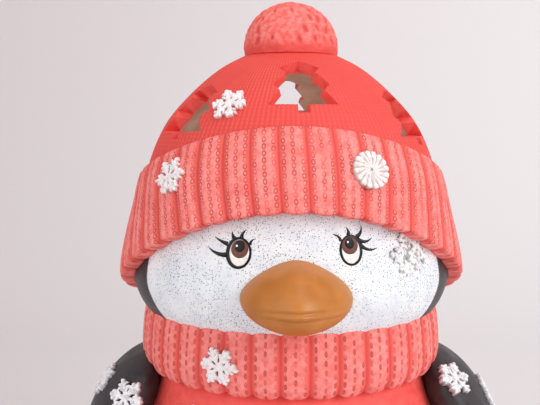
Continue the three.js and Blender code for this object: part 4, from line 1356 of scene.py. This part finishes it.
def solder_mask():
    """Green solder mask over glass-epoxy: tracks raised under the mask, faint glass weave."""
    material, tree, shader, place = new_finish("glass_epoxy_green_mask", 0.35, 1.55)
    reach = node(tree, "VectorMath", [place, (1, 1, 0)], operation="MULTIPLY")
    reach = node(tree, "VectorMath", [reach], operation="LENGTH").outputs["Value"]
    off = node(tree, "Math", [reach, TRACK_R * MM], operation="SUBTRACT")
    off = node(tree, "Math", [off], operation="ABSOLUTE")
    track = node(tree, "MapRange", [off, 0.0009, 0.0012, 1, 0], interpolation_type="SMOOTHSTEP")
    weave = node(tree, "TexWave", {"Vector": place, "Scale": 500, "Distortion": 0.6}).outputs["Fac"]
    amount = node(tree, "MapRange", [weave, 0, 1, 0, 0.35], interpolation_type="SMOOTHSTEP")
    colour = node(
        tree, "Mix", {0: amount, 6: linear("#1f5c3a"), 7: linear("#174a2e")}, data_type="RGBA",
    )
    colour = node(tree, "Mix", {0: track, 6: colour, 7: linear("#2f7a4c")}, data_type="RGBA")
    height = node(tree, "Math", [track, 1.5, weave], operation="MULTIPLY_ADD")
    bump = node(tree, "Bump", {"Strength": 0.4, "Distance": 0.0001, "Height": height})
    rough = node(tree, "MapRange", [weave, 0, 1, 0.3, 0.42], interpolation_type="SMOOTHSTEP")
    feed(tree, shader, {"Roughness": rough, "Base Color": colour, "Normal": bump})
    return material


def led_finish(name, deep, pale, roughness):
    """White moulded LED body, or the yellow phosphor gel in its window, slightly mottled."""
    material, tree, shader, place = new_finish(name, roughness, 1.5)
    mottle, grain = brushed_grain(tree, place, 0.0008, 0.0002)
    amount = node(tree, "MapRange", [mottle, 0.35, 0.65], interpolation_type="SMOOTHSTEP")
    colour = node(tree, "Mix", {0: amount, 6: linear(deep), 7: linear(pale)}, data_type="RGBA")
    bump = node(tree, "Bump", {"Strength": 0.2, "Distance": 0.00005, "Height": grain})
    rough = node(
        tree,
        "MapRange",
        [grain, 0.3, 0.7, roughness - 0.08, roughness + 0.08],
        interpolation_type="SMOOTHSTEP",
    )
    feed(tree, shader, {"Roughness": rough, "Base Color": colour, "Normal": bump})
    return material


# Milky frosted polypropylene: soft sheen, light passes but no image does.
frosted = mottled(
    "polypropylene_frosted",
    ("#f3f0ea", "#e9e6df"),
    None,
    stroke=0.010,
    grain=0.0006,
    roughness=0.5,
    ior=1.49,
    bump=(0.3, 0.0001),
    sheen=(1, 0.3, 0.7, 0.42, 0.6),
)
frosted.node_tree.nodes["Principled BSDF"].inputs["Transmission Weight"].default_value = 0.35
lens_run = smooth_run(LENS_OUTLINE, 0.5)
lens_run[-1] = LENS_OUTLINE[-1]
lens_inside = [
    (r * (1 - LENS["wall"] / case_r), z - (z - LENS["low"]) * LENS["wall"] / LENS["height"])
    for r, z in lens_run[::4] + lens_run[-1:]
]
bm = turned(lens_run + lens_inside[::-1], 144, depth=1)
lens_length = sum(math.dist(a, b) for a, b in zip(lens_run, lens_run[1:]))
lens_along = bm.verts.layers.float["along"]


def lens_ring(v):
    """Fine prismatic rings, outside only."""
    if v[lens_along] >= lens_length or v[lens_along] == 0:
        return 0.0
    return -LENS["ring"] * (0.5 - 0.5 * math.cos(2 * math.pi * v[lens_along] / LENS["pitch"]))


push_out(bm, lens_ring)
finished("light_lens_dome", bm, [frosted], "light", ["light_lens"])
softened("led_board", solder_mask(), 0.15)
led_body = led_finish("led_body_white", "#e9e6dc", "#f2efe8", 0.4)
led_gel = led_finish("led_phosphor_gel", "#d9b12f", "#ecca50", 0.25)
for number in (1, 2, 3):
    bm = block(*node_box(f"led_{number}"))
    window = max(bm.faces, key=lambda f: f.calc_center_median().z)
    bmesh.ops.inset_region(bm, faces=[window], thickness=LED["rim"] * MM)
    bmesh.ops.inset_region(bm, faces=[window], thickness=0.1 * MM, depth=-LED["sunk"] * MM)
    window.material_index = 1
    finished(
        f"led_{number}_body", bm, [led_body, led_gel], "light", [f"led_{number}"], False
    )


# ---- battery light: cells, contacts, screws and switch ----
# Three AAA cells in a printed plastic sleeve lie head to tail between nickel-plated steel strips
# and conical springs. Two cross-head screws hold the base, and a black slider works the switch.
CELL = {"r": 5.25, "length": 44.5, "cap": 1.9, "cap_length": 1, "z": 8.0}
CELL_BAND = {"low": 5.6, "top": 38, "end": 48.2}
SPRING = {"turns": 2.5, "wire": 0.35, "r": 3.1, "cone": 0.6, "steps": 70}
SCREW = {"r": 1.1, "core": 0.82, "head_r": 2.2, "head": 0.9, "pitch": 0.9, "cross": 0.3, "arm": 1.3}
RIDGES = 7


def cell_sleeve():
    """Printed shrink sleeve, glossy: dark blue with a bronze band, bare nickelled steel ends."""
    material, tree, shader, place = new_finish("pvc_sleeve_over_steel", 0.3, 1.53)
    along = node(tree, "Attribute", attribute_name="along").outputs["Fac"]
    haze, grain = brushed_grain(tree, place, 0.006, 0.0004)
    amount = node(tree, "MapRange", [haze, 0.3, 0.7], interpolation_type="SMOOTHSTEP")
    colour = node(
        tree, "Mix", {0: amount, 6: linear("#2f4f6e"), 7: linear("#3b5c7a")}, data_type="RGBA",
    )
    amount = node(
        tree,
        "MapRange",
        [along, CELL_BAND["top"] - 0.1, CELL_BAND["top"]],
        interpolation_type="SMOOTHSTEP",
    )
    colour = node(tree, "Mix", {0: amount, 6: colour, 7: linear("#a9763c")}, data_type="RGBA")
    low_end = node(
        tree,
        "MapRange",
        [along, CELL_BAND["low"] - 0.3, CELL_BAND["low"], 1, 0],
        interpolation_type="SMOOTHSTEP",
    )
    high_end = node(
        tree,
        "MapRange",
        [along, CELL_BAND["end"], CELL_BAND["end"] + 0.3],
        interpolation_type="SMOOTHSTEP",
    )
    steel = node(tree, "Math", [low_end, high_end], operation="MAXIMUM")
    colour = node(tree, "Mix", {0: steel, 6: colour, 7: linear("#b9b6ae")}, data_type="RGBA")
    bump = node(tree, "Bump", {"Strength": 0.15, "Distance": 0.0001, "Height": grain})
    rough = node(tree, "MapRange", [grain, 0.3, 0.7, 0.24, 0.38], interpolation_type="SMOOTHSTEP")
    feed(tree, shader, {"Metallic": steel, "Roughness": rough, "Base Color": colour, "Normal": bump})
    return material


def lay_along_x(bm, way, middle):
    """Turns a piece made along Z so that its top points along X, and moves its middle to a point."""
    turn = Matrix.Rotation(way * math.pi / 2, 3, "Y")
    bmesh.ops.rotate(bm, cent=(0, 0, 0), matrix=turn, verts=bm.verts)
    bmesh.ops.translate(bm, vec=middle, verts=bm.verts)
    bmesh.ops.recalc_face_normals(bm, faces=bm.faces)
    return bm


def contact_spring(low, high, way, y):
    """A conical coil, narrow at the cell and wide at the strip."""
    start, end = (low.x, high.x) if way > 0 else (high.x, low.x)
    start, end = start + way * SPRING["wire"] * MM, end - way * SPRING["wire"] * MM
    bm = bmesh.new()
    made = bmesh.ops.create_circle(bm, segments=10, radius=SPRING["wire"] * MM, cap_ends=False)
    bmesh.ops.translate(bm, vec=(0, SPRING["r"] * MM, 0), verts=made["verts"])
    bmesh.ops.spin(
        bm,
        geom=bm.verts[:] + bm.edges[:],
        cent=(0, 0, 0),
        axis=(1, 0, 0),
        dvec=((end - start) / SPRING["steps"], 0, 0),
        angle=2 * math.pi * SPRING["turns"],
        steps=SPRING["steps"],
        use_merge=False,
    )
    for v in bm.verts:
        share = SPRING["cone"] + (1 - SPRING["cone"]) * min(max(v.co.x / (end - start), 0), 1)
        v.co.y *= share
        v.co.z *= share
    bmesh.ops.holes_fill(bm, edges=[e for e in bm.edges if e.is_boundary])
    bmesh.ops.translate(bm, vec=(start, y, CELL["z"] * MM), verts=bm.verts)
    bmesh.ops.recalc_face_normals(bm, faces=bm.faces)
    return bm


sleeve = cell_sleeve()
# Nickel-plated steel: bright but finely drawn, with duller patches.
nickel = mottled(
    "steel_nickel_plated",
    ("#b4b0a8", "#c8c4bb"),
    None,
    stroke=0.003,
    grain=0.0003,
    roughness=0.3,
    ior=1.5,
    bump=(0.2, 0.00005),
    sheen=(0, 0.3, 0.7, 0.22, 0.4),
)
nickel.node_tree.nodes["Principled BSDF"].inputs["Metallic"].default_value = 1
half, r = CELL["length"] / 2, CELL["r"]
shoulder = half - CELL["cap_length"]
cell_outline = [
    (0, -half), (3.6, -half), (3.9, -half + 0.25), (4.5, -half + 0.25), (4.8, -half),
    (5.1, -half + 0.1), (r, -half + 0.5), (r, -half + 4), (r, 0), (r, shoulder - 0.7),
    (5.1, shoulder - 0.2), (4.7, shoulder), (4.4, shoulder - 0.3),
    (CELL["cap"] + 0.2, shoulder - 0.1), (CELL["cap"], shoulder + 0.1),
    (CELL["cap"], half - 0.25), (CELL["cap"] - 0.25, half), (0, half),
]
for number in (1, 2, 3):
    low, high = node_box(f"battery_{number}")
    spring_low, spring_high = node_box(f"battery_spring_{number}")
    way = 1 if spring_low.x < low.x else -1
    bm = lay_along_x(turned(cell_outline, 72, closed=False, depth=1), way, (low + high) / 2)
    finished(f"cell_{number}", bm, [sleeve], "light", [f"battery_{number}"])
    bm = contact_spring(spring_low, spring_high, -way, (low.y + high.y) / 2)
    finished(f"cell_spring_{number}", bm, [nickel], "light", [f"battery_spring_{number}"])
for side in ("left", "right"):
    softened("contact_strip_" + side, nickel, 0.12)
softened("switch_body", nickel, 0.25)

for number in (1, 2):
    low, high = node_box(f"light_screw_{number}")
    bottom, tall = low.z / MM, (high.z - low.z) / MM
    flat = [(SCREW["head_r"] * k / 20, 0) for k in range(20)]
    head = [(2.12, 0.04), (SCREW["head_r"], 0.2)]
    head += [(SCREW["head_r"], SCREW["head"] - 0.1), (2.1, SCREW["head"])]
    turns = int((tall - SCREW["head"] - 1.2) / (SCREW["pitch"] / 2))
    thread = [
        (SCREW["core"] if k % 2 else SCREW["r"], SCREW["head"] + 0.2 + k * SCREW["pitch"] / 2)
        for k in range(turns + 1)
    ]
    outline = flat + head + [(SCREW["core"], SCREW["head"])] + thread + [(0.1, tall), (0, tall)]
    bm = turned(outline, 48, closed=False, depth=1)
    for v in bm.verts:
        x, y = abs(v.co.x) / MM, abs(v.co.y) / MM
        if v.co.z < 0.01 * MM and min(x, y) < SCREW["cross"] and max(x, y) < SCREW["arm"]:
            v.co.z += 0.6 * MM
    place = ((low.x + high.x) / 2, (low.y + high.y) / 2, bottom * MM)
    bmesh.ops.translate(bm, vec=place, verts=bm.verts)
    finished(f"screw_{number}", bm, [nickel], "light", [f"light_screw_{number}"], False)

low, high = node_box("switch_slider")
bm = block(low, high)
for k in range(1, 2 * RIDGES):
    bmesh.ops.bisect_plane(
        bm,
        geom=bm.verts[:] + bm.edges[:] + bm.faces[:],
        plane_co=(low.x + (high.x - low.x) * k / (2 * RIDGES), 0, 0),
        plane_no=(1, 0, 0),
    )
for v in bm.verts:
    step = round((v.co.x - low.x) / (high.x - low.x) * 2 * RIDGES)
    if v.co.z < low.z + 0.0001 and step % 2:
        v.co.z += 0.3 * MM
finished("switch_thumb_slider", bm, [abs_black], "switch", ["switch_slider"], False)


# ---- studio ----
# Camera a forearm's length in front of the face and a little below the top of the hat, seamless
# pale paper behind, window light from the right.
camera_data = bpy.data.cameras.new("camera")
camera_data.lens = 51.27
camera_data.sensor_width = 36
camera = bpy.data.objects.new("camera", camera_data)
camera.location = (-0.013, -0.375, 0.248)
camera.rotation_euler = (math.radians(84.6), 0, math.radians(-0.46))
bpy.context.scene.collection.objects.link(camera)
bpy.context.scene.camera = camera
bpy.context.scene.view_settings.view_transform = "Standard"

SWEEP = {"half_width": 3.0, "front": -2.5, "back": 0.5, "bend": 0.5, "height": 3.0, "low": -0.0002}
OPENING_R = 0.070  # hidden under the figure; lets the battery light be seen from below


def paper_with_painted_falloff():
    """Seamless matt paper, darker on the left and lighter on the right: a painted falloff of the window
    light.
    """
    material, tree, shader, place = new_finish("paper_with_painted_falloff", 0.95)
    # Painted light: the paper darkens towards the left, away from the window light on the right.
    across = node(tree, "SeparateXYZ", [place])
    amount = node(tree, "MapRange", [across, -1.1, 1.1], interpolation_type="SMOOTHSTEP")
    tone = node(tree, "Mix", {0: amount, 6: linear("#d6cbcc"), 7: linear("#efebeb")}, data_type="RGBA")
    feed(tree, shader, {"Base Color": tone})
    return material


bm = bmesh.new()
profile = [(SWEEP["front"], SWEEP["low"]), (SWEEP["back"], SWEEP["low"])]
for k in range(1, 17):
    a = math.pi / 2 * k / 16
    profile.append((SWEEP["back"] + SWEEP["bend"] * math.sin(a), SWEEP["bend"] * (1 - math.cos(a))))
profile.append((SWEEP["back"] + SWEEP["bend"], SWEEP["height"]))
edge = [bm.verts.new((-SWEEP["half_width"], y, z)) for y, z in profile]
strip = [bm.edges.new(pair) for pair in zip(edge, edge[1:])]
moved = bmesh.ops.extrude_edge_only(bm, edges=strip)["geom"]
far_side = [g for g in moved if isinstance(g, bmesh.types.BMVert)]
bmesh.ops.translate(bm, vec=(2 * SWEEP["half_width"], 0, 0), verts=far_side)
floor_face = max(bm.faces, key=lambda f: -f.calc_center_median().y)
border = floor_face.edges[:]
bmesh.ops.delete(bm, geom=[floor_face], context="FACES_ONLY")
opening = bmesh.ops.create_circle(bm, segments=96, radius=OPENING_R)["verts"]
bmesh.ops.scale(bm, vec=(1, FIGURE_DEPTH, 1), verts=opening)
bmesh.ops.translate(bm, vec=(0, 0, SWEEP["low"]), verts=opening)
opening_rim = {e for v in opening for e in v.link_edges}
bmesh.ops.triangle_fill(bm, use_beauty=True, edges=border + list(opening_rim))
bmesh.ops.recalc_face_normals(bm, faces=bm.faces)
mesh = bpy.data.meshes.new("paper_sweep")
for face in bm.faces:
    face.smooth = True
bm.to_mesh(mesh)
bm.free()
mesh.materials.append(paper_with_painted_falloff())
floor = bpy.data.objects.new("paper_sweep", mesh)
bpy.context.scene.collection.objects.link(floor)

world = bpy.data.worlds.new("soft_room")
world.use_nodes = True
world.node_tree.nodes["Background"].inputs[0].default_value = linear("#eff1f4")
world.node_tree.nodes["Background"].inputs[1].default_value = 0.62
bpy.context.scene.world = world

for name, power, size, place in (
    ("window_light", 16, 1.0, (1.15, -0.95, 0.95)),
    ("fill_light", 7.5, 1.2, (-1.1, -0.9, 0.8)),
    ("top_light", 3.5, 1.0, (0.2, -0.2, 1.5)),
    ("hollow_light", 0.05, 0.03, (0, 0, 0.16)),
):
    lamp = bpy.data.lights.new(name, "AREA")
    lamp.energy = power
    lamp.size = size
    light = bpy.data.objects.new(name, lamp)
    light.location = place
    aim = Vector((0, 0, 0.3)) if name == "hollow_light" else Vector((0, 0, 0.2))
    light.rotation_euler = (aim - Vector(place)).to_track_quat("-Z", "Y").to_euler()
    bpy.context.scene.collection.objects.link(light)
